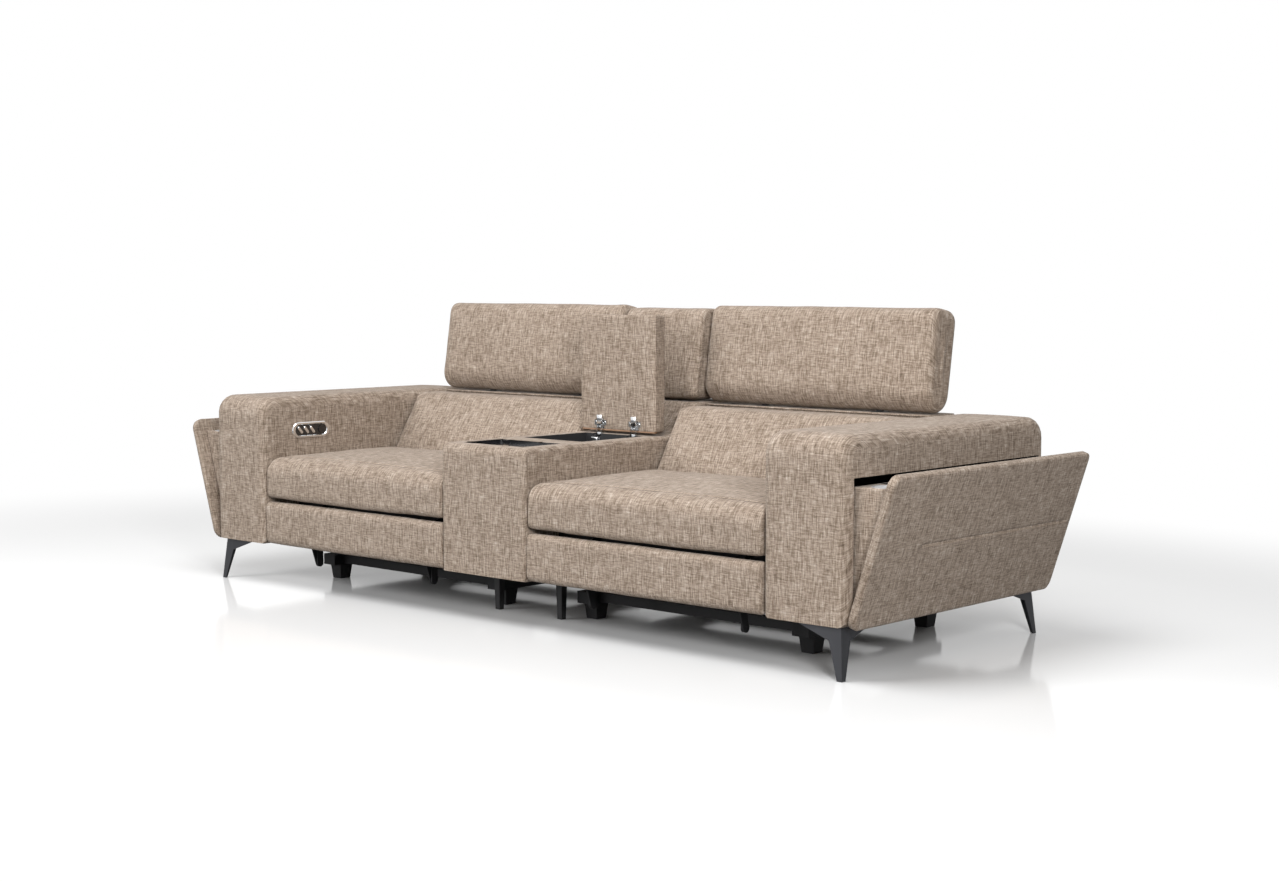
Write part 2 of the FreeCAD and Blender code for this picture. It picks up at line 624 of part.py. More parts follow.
# The black lining of an arm's hollow: back, ends and floor, open to the outer side
def make_arm_liner(side):
    name = side_name(side) + "_arm_liner"
    inner, outer = arm_inner + arm_wall, half_width - arm_edge
    ys = (front + arm_post, rear - arm_post)
    zs = (ground_gap + arm_sill, beam_under)
    shell = block(name + "_shell", across(side, inner, outer), ys, zs)
    hollow = block(name + "_hollow", across(side, inner + liner_skin, outer + 1),
                   (ys[0] + liner_skin, ys[1] - liner_skin), (zs[0] + liner_skin, zs[1] - liner_skin))
    node(name, cut(name + "_cut", shell, hollow))


# Everything on a side flap is drawn shut, from its hinge axis, and then swung open
flap_axis_out = half_width + flap_shut_gap + knuckle_radius
flap_face = -knuckle_radius
flap_ys = (front + flap_end_gap, rear - flap_end_gap)


def swing_open(thing, side):
    thing.Placement = Placement(Vector(), Rotation(Y_AXIS, 1))
    bind(thing, "Placement.Rotation.Angle", side * flap_open)
    bind(thing, "Placement.Base.x", side * flap_axis_out)
    bind(thing, "Placement.Base.z", ground_gap + knuckle_up)
    return thing


def local_across(side, low, high):
    return (low, high) if side > 0 else (-high, -low)


def make_flap_panel(side):
    name = side_name(side) + "_flap_panel"
    body = new_body(name + "_body")
    xs = local_across(side, flap_face, flap_face + flap_thick)
    outside = xs[1] if side > 0 else xs[0]
    low = -knuckle_up
    high = flap_height - knuckle_up
    extrude(body, "Pad", "YZ_Plane", xs[0], xs[1], outline(
        (flap_ys[0], low, flap_corner), (flap_ys[1], low, flap_corner),
        (flap_ys[1], high, flap_corner * 0.6), (flap_ys[0], high, flap_corner)), "FlapPanel")
    round_edges(body, "FlapEdge", flap_edge, lies_at("x", outside))
    rebate = local_across(side, flap_face - 1, knuckle_radius + piece_gap)
    extrude(body, "Pocket", "XZ_Plane", flap_ys[0] - 1, flap_ys[1] + 1, rectangle(
        rebate, (low - 1, knuckle_radius + piece_gap)), "HingeRebate")
    node(name, swing_open(body, side))


# The bin behind a flap: a wedge whose top is level when the flap is open
bin_ys = (front + arm_post + liner_skin + bin_end_gap, rear - arm_post - liner_skin - bin_end_gap)
open_sine, open_cosine = sine(flap_open), cosine(flap_open)
bin_face = flap_face - seat_fit
bin_top_open = bin_rise * open_cosine - bin_face * open_sine
bin_back_open = half_width - bin_inset - flap_axis_out
bin_back_top = (bin_back_open * open_cosine - bin_top_open * open_sine,
                bin_back_open * open_sine + bin_top_open * open_cosine)
bin_foot_open = bin_foot * 1.2
bin_back_low = (bin_back_open * open_cosine - bin_foot_open * open_sine,
                bin_back_open * open_sine + bin_foot_open * open_cosine)


def wedge(side, corners):
    return outline(*[(side * u, v) for u, v in corners])


def make_flap_bin(side):
    name = side_name(side) + "_flap_bin"
    body = new_body(name + "_body")
    wall = bin_wall
    corners = [(bin_face, bin_foot), (bin_face, bin_rise), bin_back_top, bin_back_low]
    extrude(body, "Pad", "XZ_Plane", bin_ys[0], bin_ys[1], wedge(side, corners), "BinWedge")
    # The pocket behind the cup holder shelf keeps a front, a rear and an inner wall
    top_u, top_v = bin_back_top
    low_u, low_v = bin_back_low
    hollow = [(bin_face - wall * 0.5, bin_foot + wall * 2), (bin_face - wall * 0.5, bin_rise + 30),
              (top_u + wall * open_cosine - 30 * open_sine, top_v + wall * open_sine + 30 * open_cosine),
              (low_u + wall * open_cosine - wall * open_sine, low_v + wall * open_sine + wall * open_cosine)]
    extrude(body, "Pocket", "XZ_Plane", bin_ys[0] + cup_block, bin_ys[1] - wall,
            wedge(side, hollow), "BinPocket")
    node(name, swing_open(cup_bored(body, side, name), side))


# The cup holder stands upright when the flap is open, so its axis leans in the flap's own frame
cup_low = bin_rise - cup_depth - cup_metal
cup_out_open = bin_face * open_cosine + cup_low * open_sine - cup_bore - cup_metal - cup_side
cup_centre = (cup_out_open * open_cosine - bin_top_open * open_sine,
              cup_out_open * open_sine + bin_top_open * open_cosine)


def lean_with_shelf(thing, side, along):
    # Puts a shape drawn on the Z axis on the cup holder's leaning axis
    thing.Placement = Placement(Vector(), Rotation(Y_AXIS, 1))
    bind(thing, "Placement.Rotation.Angle", -side * flap_open)
    bind(thing, "Placement.Base.x", side * (cup_centre[0] - along * open_sine))
    bind(thing, "Placement.Base.y", bin_ys[0] + cup_reach)
    bind(thing, "Placement.Base.z", cup_centre[1] + along * open_cosine)
    return thing


def leaning_rod(name, side, radius, low, high):
    cylinder = doc.addObject("Part::Cylinder", name)
    bind(cylinder, "Radius", radius)
    bind(cylinder, "Height", high - low)
    return lean_with_shelf(cylinder, side, low)


def cup_bored(body, side, name):
    well = leaning_rod(name + "_well", side, cup_bore + cup_metal + seat_fit,
                       -(cup_depth + cup_metal + seat_fit), as_size(20))
    return cut(name + "_bored", body, well)


def make_cup_holder(side):
    name = side_name(side) + "_cup_holder"
    rim = leaning_rod(name + "_rim", side, cup_bore + cup_rim, as_size(0), cup_metal)
    can = leaning_rod(name + "_can", side, cup_bore + cup_metal, -cup_depth - cup_metal, cup_metal)
    inside = leaning_rod(name + "_inside", side, cup_bore, -cup_depth, cup_metal + 1)
    node(name, swing_open(cut(name + "_cut", join(name + "_outside", rim, can), inside), side))


# The flap hinge: barrels in turn on the arm and on the flap, on one pin that the arm carries
def make_flap_hinges():
    count = 4
    span = (flap_ys[1] - flap_ys[0] - 2 * flap_corner) / (2 * count + 1)
    start = flap_ys[0] + flap_corner
    axis_up = ground_gap + knuckle_up
    fixed = []
    for label, side in SIDES:
        moving = []
        for i in range(2 * count + 1):
            low = start + span * i
            high = low + span - piece_gap / 2
            name = f"{label}_barrel_{i}"
            if i % 2 == 0:
                barrel = rod(name, "y", low, high, side * flap_axis_out, axis_up, knuckle_radius)
                leaf = block(name + "_leaf", across(side, half_width - arm_sill, flap_axis_out), (low, high),
                             (ground_gap - hinge_leaf, ground_gap))
                web = block(name + "_web", across(side, half_width, flap_axis_out),
                            (low, high), (ground_gap - hinge_leaf, axis_up))
                fixed.append(join(name + "_fixed", barrel, leaf, web))
            else:
                barrel = rod(name, "y", low, high, as_size(0), as_size(0), knuckle_radius)
                leaf = block(name + "_leaf", local_across(side, as_size(0), knuckle_radius + piece_gap),
                             (low, high), (-hinge_leaf / 2, hinge_leaf / 2))
                bore = rod(name + "_bore", "y", low - 1, high + 1, as_size(0), as_size(0),
                           hinge_pin + pin_play)
                moving.append(cut(name + "_moving", join(name + "_whole", barrel, leaf), bore))
        pin = rod(label + "_hinge_pin", "y", start, start + span * (2 * count + 1) - piece_gap / 2,
                  side * flap_axis_out, axis_up, hinge_pin)
        fixed.append(pin)
        node(label + "_flap_hinge_leaves", swing_open(group(label + "_flap_leaves", *moving), side))
    node("arm_hinge_leaves", join("arm_leaves", *fixed))


# The console: a box between the seats whose top sweeps up to the shelf of the centre back
def make_console():
    body = new_body("console_body")
    half = console_side
    ys = (front, back_from_front(centre_rear))
    extrude(body, "Pad", "YZ_Plane", -half, half, outline(
        (ys[0], ground_gap), (ys[1], ground_gap), (ys[1], shelf_height),
        (back_from_front(sweep_end), shelf_height),
        (back_from_front(sweep_knee), console_height, sweep_radius),
        (ys[0], console_height, console_edge)), "ConsoleSide")

    def upright(edge):
        return lies_at("y", ys[0])(edge) and edge.BoundBox.ZLength > 100
    round_edges(body, "ConsoleEdges", console_edge * 0.8, upright)
    extrude(body, "Pocket", "XY_Plane", console_height - plate_sink - plate_thick, console_height + 1,
            rectangle((-plate_half - seat_fit, plate_half + seat_fit),
                      (back_from_front(plate_front) - seat_fit,
                       back_from_front(plate_front + plate_length) + seat_fit)), "PlateRecess")
    extrude(body, "Pocket", "XY_Plane", console_height - bin_depth, console_height + 1,
            rectangle((-bin_half - liner_skin, bin_half + liner_skin),
                      (back_from_front(bin_front) - liner_skin,
                       back_from_front(bin_front + bin_length) + liner_skin)), "Compartment")
    for label, side in SIDES:
        extrude(body, "Pocket", "XY_Plane", console_height - notch_depth, console_height + 1,
                rectangle(*hinge_notch(side)), label + "HingeNotch")
    node("console_box", body)


def hinge_notch(side):
    # The room for a lid hinge arm in the rear edge of the compartment
    middle = side * hinge_place
    wall = back_from_front(bin_front + bin_length)
    return (middle - notch_half, middle + notch_half), (wall, wall + notch_back)


def make_console_insides():
    ys = (back_from_front(bin_front), back_from_front(bin_front + bin_length))
    floor = console_height - bin_depth
    shell = block("bin_shell", (-bin_half - liner_skin, bin_half + liner_skin),
                  (ys[0] - liner_skin, ys[1] + liner_skin), (floor, console_height))
    hollow = block("bin_hollow", (-bin_half, bin_half), ys, (floor + liner_skin, console_height + 1))
    notches = [block(label + "_bin_notch", *hinge_notch(side),
                     (console_height - notch_depth, console_height + 1)) for label, side in SIDES]
    node("console_bin", cut("bin_cut", shell, hollow, *notches))

    plate_ys = (back_from_front(plate_front), back_from_front(plate_front + plate_length))
    top = console_height - plate_sink
    body = new_body("top_plate_body")
    extrude(body, "Pad", "XY_Plane", top - plate_thick, top,
            rectangle((-plate_half, plate_half), plate_ys, plate_corner), "TopPlate")
    extrude(body, "Pocket", "XY_Plane", top - tray_sink, top + 1,
            rectangle((-plate_half + tray_rim, plate_half - tray_rim),
                      (plate_ys[0] + tray_rim, plate_ys[1] - tray_rim), tray_corner), "Tray")

    side_strip = block("side_strip", (-plate_half + strip_inset, -plate_half + tray_rim),
                       (plate_ys[0] + tray_rim, plate_ys[1] - tray_rim * 0.5), (top, top + strip_rise))
    rear_strip = block("rear_strip", (-plate_half + tray_rim * 3, plate_half - tray_rim * 5),
                       (plate_ys[1] - tray_rim, plate_ys[1] - strip_inset), (top, top + strip_rise))
    node("console_top_plate", join("top_plate_whole", body, side_strip, rear_strip))


# The console lid, standing open: the hinge cups are let into its underside
def make_lid():
    face = back_from_front(lid_face_back)
    pivot_y = face - lid_pin_gap
    pivot_z = console_height
    low = pivot_z + lid_heel
    body = new_body("lid_body")
    extrude(body, "Pad", "XZ_Plane", face, face + lid_thick, rectangle(
        (-lid_half, lid_half), (low, low + lid_length), lid_corner), "Lid")
    round_edges(body, "LidPadding", lid_round, lies_at("y", face + lid_thick))
    cups = [(side * hinge_place, pivot_z + cup_rise, cup_radius + seat_fit) for label, side in SIDES]
    extrude(body, "Pocket", "XZ_Plane", face - 1, face + cup_sink + seat_fit, circles(*cups), "CupBores")
    node("console_lid", body)

    wall_y = back_from_front(bin_front + bin_length)
    flange_z = (pivot_z + cup_rise - flange_half, pivot_z + cup_rise + flange_half)
    hinge_cups = []
    hinge_arms = []
    for label, side in SIDES:
        middle = side * hinge_place
        cup_spot = (middle, pivot_z + cup_rise)
        cup = rod(label + "_cup", "y", face, face + cup_sink, *cup_spot, cup_radius)
        scoop = rod(label + "_scoop", "y", face - 5, face + cup_sink - cup_plate, *cup_spot,
                    cup_radius - cup_plate)
        flange = block(label + "_flange", (middle - cup_flange, middle + cup_flange),
                       (face - cup_plate, face), flange_z)
        bridge = block(label + "_bridge", (middle - cup_radius, middle + cup_radius), (face - cup_plate, face),
                       (cup_spot[1] - cup_radius - cup_plate, flange_z[0] + cup_plate))
        window = rod(label + "_window", "y", face - 5, face + 1, *cup_spot, cup_radius - cup_plate)
        ears = []
        for ear in (-1, 1):
            near = middle + ear * (hinge_arm_half + hinge_play)
            far = near + ear * hinge_ear
            xs = (near, far) if ear > 0 else (far, near)
            eye = rod(f"{label}_eye_{ear}", "x", *xs, pivot_y, pivot_z, lid_barrel)
            strap = block(f"{label}_strap_{ear}", xs, (pivot_y - lid_barrel, face - cup_plate / 2),
                          (pivot_z, flange_z[0] + cup_plate))
            ears += [eye, strap]
        bore = rod(label + "_ear_bore", "x", middle - cup_flange, middle + cup_flange, pivot_y, pivot_z,
                   lid_pin + pin_play)
        rim = join(label + "_rim", flange, bridge)
        whole = join(label + "_cup_whole", cut(label + "_flange_open", rim, window),
                     cut(label + "_cup_open", cup, scoop), *ears)
        hinge_cups.append(cut(label + "_cup_bored", whole, bore))
        half = (middle - hinge_arm_half, middle + hinge_arm_half)
        pin_half = hinge_arm_half + hinge_play + hinge_ear + hinge_play
        barrel = rod(label + "_barrel", "x", *half, pivot_y, pivot_z, lid_barrel)
        pin = rod(label + "_lid_pin", "x", middle - pin_half, middle + pin_half,
                  pivot_y, pivot_z, lid_pin)
        neck_top = pivot_z - lid_barrel + 1
        neck = block(label + "_neck", half, (wall_y - hinge_foot, pivot_y), (neck_top - hinge_neck, neck_top))
        drop = block(label + "_drop", half, (wall_y - hinge_foot, wall_y),
                     (console_height - hinge_drop, neck_top))
        plate = block(label + "_plate", (middle - hinge_plate_half, middle + hinge_plate_half),
                      (wall_y - hinge_plate, wall_y),
                      (console_height - hinge_plate_low, console_height - hinge_plate_top))
        hinge_arms.append(join(label + "_hinge_arm", barrel, pin, neck, drop, plate))
    node("lid_hinge_cups", group("cup_group", *hinge_cups))
    node("lid_hinge_arms", group("hinge_arm_group", *hinge_arms))


def inset(corners, distance):
    # The outline moved inward by a distance, with its corner radii made smaller
    count = len(corners)
    points = [Vector(num(u), num(v), 0) for u, v, radius in corners]
    area = sum(points[i - 1].cross(points[i]).z for i in range(count))
    turn = 1 if area > 0 else -1
    moved = []
    for i in range(count):
        first = (points[i] - points[i - 1]).normalize()
        second = (points[(i + 1) % count] - points[i]).normalize()
        normal = Vector(-first.y - second.y, first.x + second.x, 0) * turn
        place = points[i] + normal * (distance / (1 + first.dot(second)))
        moved.append((place.x, place.y, max(num(corners[i][2]) - distance, 2)))
    return moved


# Rings in the rounding of a padded end, and spans between its ends
END_STEPS = 2
MIDDLE_STEPS = 4
END_CROWN = 0.25
CROWN_POWER = 0.7


def padded(side, low, high, edge, profile, place=None):
    # A cushion lofted across the sofa: its ends are rounded and drawn in, its middle is crowned
    low, high, edge, drawn = num(low), num(high), num(edge), num(side_draw)
    width = high - low
    end = []
    for i in range(END_STEPS):
        turn = math.pi / 2 * i / END_STEPS
        end.append((edge * (1 - math.cos(turn)), edge * (1 - math.sin(turn)) + drawn, END_CROWN))
    steps = [(low + along, shrink, crown) for along, shrink, crown in end]
    for i in range(MIDDLE_STEPS + 1):
        part = i / MIDDLE_STEPS
        swell = math.sin(math.pi * part) ** CROWN_POWER
        steps.append((low + edge + (width - 2 * edge) * part, drawn * (1 - swell),
                      END_CROWN + (1 - END_CROWN) * swell))
    steps += [(high - along, shrink, crown) for along, shrink, crown in reversed(end)]
    rings = []
    for x, shrink, crown in steps:
        def at(point, x=side * x):
            return Vector(x, point.x, point.y) if place is None else place(x, point)
        rings.append(ring(inset(profile(crown), shrink), at))
    return Part.makeLoft(rings if side > 0 else rings[::-1], True, True)


# Seat cushion: crowned, with a full round front edge
pad_slope = (pad_top_y - pad_foot_y) / (back_top - pad_foot_z)
seat_top_end = pad_foot_y + pad_slope * (seat_edge + seat_rear_lift - pad_foot_z) - seat_back_gap


def seat_profile(crown):
    middle = back_from_front(seat_top_end * seat_peak)
    return [(front + seat_front_gap, seat_base, cushion_round),
            (back_from_front(seat_low_end), seat_base, cushion_round),
            (back_from_front(seat_low_end), seat_base + seat_rear_face, seat_heel_round),
            (back_from_front(seat_top_end), seat_edge + seat_rear_lift, seat_rear_round),
            (middle, num(seat_edge) + num(seat_crown) * crown, seat_bow),
            (front + seat_front_gap, seat_edge, seat_round)]


def back_profile(crown):
    swell = num(pad_swell) * crown
    foot = (num(back_from_front(pad_foot_y)), num(pad_foot_z))
    top = (num(back_from_front(pad_top_y)), num(back_top))
    lean = math.atan2(top[0] - foot[0], top[1] - foot[1])
    middle = ((foot[0] + top[0]) / 2 - swell * math.cos(lean), (foot[1] + top[1]) / 2 + swell * math.sin(lean))
    return [(*foot, pad_foot_round), (back_from_front(pad_rear_low_y), pad_rear_low_z, pad_rear_round),
            (back_from_front(pad_rear_top), back_top, pad_rear_round), (*top, pad_round),
            (*middle, cushion_bow)]


def head_profile(crown):
    swell = num(head_swell) * crown
    radius = num(head_radius)
    rise = num(head_rise)
    return [(-radius, -radius, radius * 0.995), (radius, -radius, radius * 0.995),
            (radius, rise, head_round), (-radius, rise, head_round),
            (-radius - swell, rise * num(head_peak), cushion_bow)]


def pillow_profile(crown):
    swell = num(head_swell) * crown
    lean = math.tan(math.radians(num(head_lean)))
    low = num(shelf_height + seat_fit)
    high = num(pillow_top)
    face = num(back_from_front(pillow_front))
    rear_face = num(back_from_front(back_rear))
    middle = (low + high) / 2
    return [(face, low, cushion_round), (rear_face, low, pad_rear_round), (rear_face, high, pillow_round),
            (face + (high - low) * lean, high, pillow_round),
            (face + (middle - low) * lean - swell, middle, cushion_bow)]


def make_seat(label, side):
    ends = (inner_side + piece_gap, arm_inner - piece_gap)
    node(label + "_seat_cushion", plain(label + "_seat_form", padded(side, *ends, seat_side, seat_profile)))
    node(label + "_back_cushion", plain(label + "_back_form", padded(side, *ends, back_side, back_profile)))

    pivot_y = num(back_from_front(head_pivot_y))
    pivot_z = num(head_pivot_z)
    lean = math.radians(num(head_lean))

    def leaning(x, point):
        return Vector(side * x if x > 0 else x, pivot_y + point.x * math.cos(lean) + point.y * math.sin(lean),
                      pivot_z - point.x * math.sin(lean) + point.y * math.cos(lean))
    head = padded(side, *ends, head_side, head_profile, leaning)
    node(label + "_headrest", plain(label + "_head_form", slotted(head, side, pivot_y, pivot_z)))
    node(label + "_headrest_arms", head_arms(label, side))


def slotted(head, side, pivot_y, pivot_z):
    # Slots from below for the two arms that carry a headrest, and the bores of their pins
    half_slot = num(head_arm_half + slot_side)
    reach = num(head_radius) * 1.3
    for place in (-1, 1):
        x = side * num(seat_middle + place * head_arm_place)
        slot = Part.makeBox(2 * half_slot, num(slot_front) + reach, reach,
                            Vector(x - half_slot, -num(slot_front), -reach))
        slot.rotate(Vector(), X_AXIS, -num(head_lean))
        slot.translate(Vector(0, pivot_y, pivot_z))
        eye = Part.makeCylinder(num(head_arm + 3), 2 * half_slot,
                                Vector(x - half_slot, pivot_y, pivot_z), X_AXIS)
        bore_half = half_slot + num(head_pin_hold) + 2
        bore = Part.makeCylinder(num(head_pin + pin_play), 2 * bore_half,
                                 Vector(x - bore_half, pivot_y, pivot_z), X_AXIS)
        head = head.cut(slot.fuse([eye, bore]))
    return head


def head_arms(label, side):
    arms = []
    y = back_from_front(head_pivot_y)
    for place in (-1, 1):
        x = side * (seat_middle + place * head_arm_place)
        name = f"{label}_head_arm_{place}"
        eye = rod(name + "_eye", "x", x - head_arm_half, x + head_arm_half, y, head_pivot_z, head_arm)
        pin_half = head_arm_half + slot_side + head_pin_hold
        pin = rod(name + "_pin", "x", x - pin_half, x + pin_half, y, head_pivot_z, head_pin)
        neck = block(name + "_neck", (x - head_arm_half, x + head_arm_half),
                     (y - head_neck / 2, y + head_neck / 2),
                     (back_top, head_pivot_z))
        flange_half = head_arm_half + head_foot_side
        flange = block(name + "_flange", (x - flange_half, x + flange_half),
                       (y - head_foot / 2, y + head_foot / 2), (back_top, back_top + head_foot_thick))
        arms.append(join(name, eye, pin, neck, flange))
    return group(label + "_head_arm_group", *arms)


# The back frame: side plates, an outer back panel, a top board and a lower rail on two pivot pins
def make_back_frame(label, side):
    body = new_body(label + "_back_frame_body")
    xs = across(side, inner_side + back_frame_in, arm_inner - back_frame_in)
    y = back_from_front
    rest = seat_fit * 1.15
    heel = y(back_pivot_y) + root((back_rear - back_pivot_y) * (back_rear - back_pivot_y)
                                  - (back_pivot_z - back_low) * (back_pivot_z - back_low))
    extrude(body, "Pad", "YZ_Plane", xs[0], xs[1], outline(
        (y(back_pivot_y) - back_boss, back_pivot_z - back_boss), (y(back_pivot_y + back_heel), back_low),
        (heel - 2, back_low), (y(back_rear), back_pivot_z), (y(back_rear), back_top, back_corner),
        (y(pad_rear_top) + rest, back_top), (y(pad_rear_low_y) + rest, pad_rear_low_z),
        (y(back_pivot_y) - back_boss, back_pivot_z + back_boss * 2)), "BackSide")
    inside = (xs[0] + back_board, xs[1] - back_board)
    extrude(body, "Pocket", "YZ_Plane", inside[0], inside[1], outline(
        (y(back_pivot_y) - back_boss - 1, back_low - 1), (y(back_rear) - back_board, back_low - 1),
        (y(back_rear) - back_board, back_top - back_board),
        (y(back_pivot_y) - back_boss - 1, back_top - back_board)), "BackHollow")
    rail_y = y(back_pivot_y) + back_rail_gap
    rail = block(label + "_back_rail", inside, (rail_y, rail_y + back_rail),
                 (back_pivot_z - back_rail_height * 0.4, back_pivot_z + back_rail_height * 0.6))
    slat_z = (pad_rear_low_z + back_top) / 2
    slat_y = y((pad_rear_top + pad_rear_low_y) / 2)
    slat = block(label + "_back_slat", inside, (slat_y + rest, slat_y + rest + slat_thick),
                 (slat_z - slat_height, slat_z))
    pins = []
    for end, inward in ((inner_side + back_frame_in, 1), (arm_inner - back_frame_in, -1)):
        outer = console_side + seat_fit if inward > 0 else arm_inner - seat_fit
        span = (outer, end) if inward > 0 else (end, outer)
        span = across(side, *span)
        pins.append(rod(f"{label}_back_pin_{inward}", "x", span[0], span[1], y(back_pivot_y), back_pivot_z,
                        back_pin))
    node(label + "_back_frame", join(label + "_back_frame_whole", body, rail, slat, *pins))


# The seat deck with its side brackets, the back's pivot bores and the ears for the footrest links
def make_deck(label, side):
    y = back_from_front
    top = seat_base - seat_fit
    parts = []
    for inner, outer in ((console_side + seat_fit, console_side + seat_fit + bracket_thick),
                         (arm_inner - seat_fit - bracket_thick, arm_inner - seat_fit)):
        body = new_body(f"{label}_bracket_{len(parts)}")
        xs = across(side, inner, outer)
        extrude(body, "Pad", "YZ_Plane", xs[0], xs[1], outline(
            (y(deck_front), top - bracket_drop),
            (y(deck_rear) + bracket_heel, top - bracket_drop),
            (y(back_pivot_y) + back_boss, back_pivot_z - back_boss * 1.2, back_boss * 0.9),
            (y(back_pivot_y) + back_boss, back_pivot_z + back_boss, back_boss * 0.95),
            (y(back_pivot_y) - back_boss, back_pivot_z + back_boss, back_boss * 0.6),
            (y(deck_rear) + bracket_heel - piece_gap * 4, top - deck_thick / 4),
            (y(deck_front), top - deck_thick / 4)), "Bracket")
        extrude(body, "Pocket", "YZ_Plane", xs[0] - 1, xs[1] + 1,
                circles((y(back_pivot_y), back_pivot_z, back_pin + pin_play)), "PivotBore")
        parts.append(body)
    board = block(label + "_deck_board", across(side, console_side + seat_fit, arm_inner - seat_fit),
                  (y(deck_front), y(deck_rear)), (top - deck_thick, top))
    parts.append(board)
    for place in (-1, 1):
        middle = seat_middle + place * link_place
        body = new_body(f"{label}_link_ear_{place + 1}")
        xs = across(side, middle, middle + link_thick)
        extrude(body, "Pad", "YZ_Plane", xs[0], xs[1], outline(
            (y(link_root_y) - link_half, link_root_z - link_half, link_half * 0.98),
            (y(deck_front) + ear_reach, top - deck_thick - ear_drop),
            (y(deck_front) + ear_reach, top - deck_thick / 2),
            (y(deck_front), top - deck_thick / 2), (y(link_root_y), link_root_z + link_half),
            (y(link_root_y) - link_half, link_root_z + link_half, link_half * 0.98)), "LinkEar")
        extrude(body, "Pocket", "YZ_Plane", xs[0] - 1, xs[1] + 1,
                circles((y(link_root_y), link_root_z, link_pin + pin_play)), "EarBore")
        parts.append(body)
    node(label + "_seat_deck", join(label + "_deck_whole", *parts))


def bar_link(name, side, low, ends, bore, thick=None):
    # A flat steel link with round ends and a bore at its second end
    (y0, z0), (y1, z1) = ends
    body = new_body(name)
    xs = across(side, low, low + (thick or link_thick))
    dy, dz = num(y1 - y0), num(z1 - z0)
    length = root((y1 - y0) * (y1 - y0) + (z1 - z0) * (z1 - z0))
    along = ((y1 - y0) / length, (z1 - z0) / length)
    side_way = (-along[1], along[0])

    def spot(y, z, forward, sideways):
        return (y + along[0] * forward * link_half + side_way[0] * sideways * link_half,
                z + along[1] * forward * link_half + side_way[1] * sideways * link_half, link_half * 0.98)
    extrude(body, "Pad", "YZ_Plane", xs[0], xs[1], outline(
        spot(y0, z0, -1, 1), spot(y0, z0, -1, -1), spot(y1, z1, 1, -1), spot(y1, z1, 1, 1)), "Link")
    if bore:
        extrude(body, "Pocket", "YZ_Plane", xs[0] - 1, xs[1] + 1,
                circles((*bore, link_pin + pin_play)), "LinkBore")
    return body


# The footrest: lower links hung from the deck, upper links, and a padded panel on its brackets
def make_footrest(label, side):
    y = back_from_front
    root_pin = (y(link_root_y), link_root_z)
    knee_pin = (y(link_root_y), link_root_z - link_reach)
    panel_pin = (y(panel_pivot_y), panel_pivot_z)
    step = link_thick + link_play
    lower, upper, brackets = [], [], []
    for place in (-1, 1):
        ear = seat_middle + place * link_place
        tag = f"{label}_{'inner' if place < 0 else 'outer'}"
        lower.append(bar_link(tag + "_lower_link", side, ear + step, (root_pin, knee_pin), None))
        span = across(side, ear, ear + step)
        lower.append(rod(tag + "_root_pin", "x", span[0], span[1], *root_pin, link_pin))
        span = across(side, ear + step + link_thick, ear + step * 2 + link_thick)
        lower.append(rod(tag + "_knee_pin", "x", span[0], span[1], *knee_pin, link_pin))
        upper.append(bar_link(tag + "_upper_link", side, ear + step * 2, (knee_pin, panel_pin), knee_pin))
        span = across(side, ear + step * 2 + link_thick, ear + step * 3 + link_thick)
        upper.append(rod(tag + "_panel_pin", "x", span[0], span[1], *panel_pin, link_pin))
        bracket = new_body(tag + "_panel_bracket")
        xs = across(side, ear + step * 3, ear + step * 3 + link_thick)
        extrude(bracket, "Pad", "YZ_Plane", xs[0], xs[1], outline(
            (y(panel_thick) + seat_fit, panel_pivot_z - clip_drop), (y(panel_pivot_y) + link_half,
            panel_pivot_z - link_half, link_half * 0.98), (y(panel_pivot_y) + link_half,
            panel_pivot_z + link_half, link_half * 0.98),
            (y(panel_thick) + seat_fit, panel_pivot_z + clip_rise)), "PanelBracket")
        extrude(bracket, "Pocket", "YZ_Plane", xs[0] - 1, xs[1] + 1,
                circles((*panel_pin, link_pin + pin_play)), "BracketBore")
        pad_low = ear + step * 3 - clip_pad_side
        pad_y = y(panel_thick) + seat_fit
        pad = block(tag + "_bracket_pad", across(side, pad_low, pad_low + clip_pad),
                    (pad_y, pad_y + clip_pad_thick),
                    (panel_pivot_z - clip_pad_low, panel_pivot_z - clip_pad_low + clip_pad_height))
        brackets.append(join(tag + "_bracket_whole", bracket, pad))
    inner_ear = seat_middle - link_place
    outer_ear = seat_middle + link_place
    span = across(side, inner_ear + step + link_thick * 0.5, outer_ear + step + link_thick * 0.5)
    lower.append(rod(label + "_lower_tube", "x", span[0], span[1], root_pin[0],
                     link_root_z - link_reach / 2, link_tube))
    span = across(side, inner_ear + step * 2 + link_thick * 0.5, outer_ear + step * 2 + link_thick * 0.5)
    upper.append(rod(label + "_upper_tube", "x", span[0], span[1], (knee_pin[0] + panel_pin[0]) / 2,
                     (knee_pin[1] + panel_pin[1]) / 2, link_tube))
    node(label + "_footrest_lower_links", join(label + "_lower_links", *lower))
    node(label + "_footrest_upper_links", join(label + "_upper_links", *upper))
    node(label + "_footrest_brackets", group(label + "_brackets", *brackets))

    body = new_body(label + "_footrest_body")
    xs = across(side, inner_side + piece_gap, arm_inner - piece_gap)
    extrude(body, "Pad", "YZ_Plane", xs[0], xs[1], rectangle(
        (front, y(panel_thick)), (panel_low, panel_top), panel_round), "FootrestPanel")
    round_edges(body, "FootrestEnds", panel_round * 0.6, lies_at("x", *xs))
    node(label + "_footrest_panel", body)


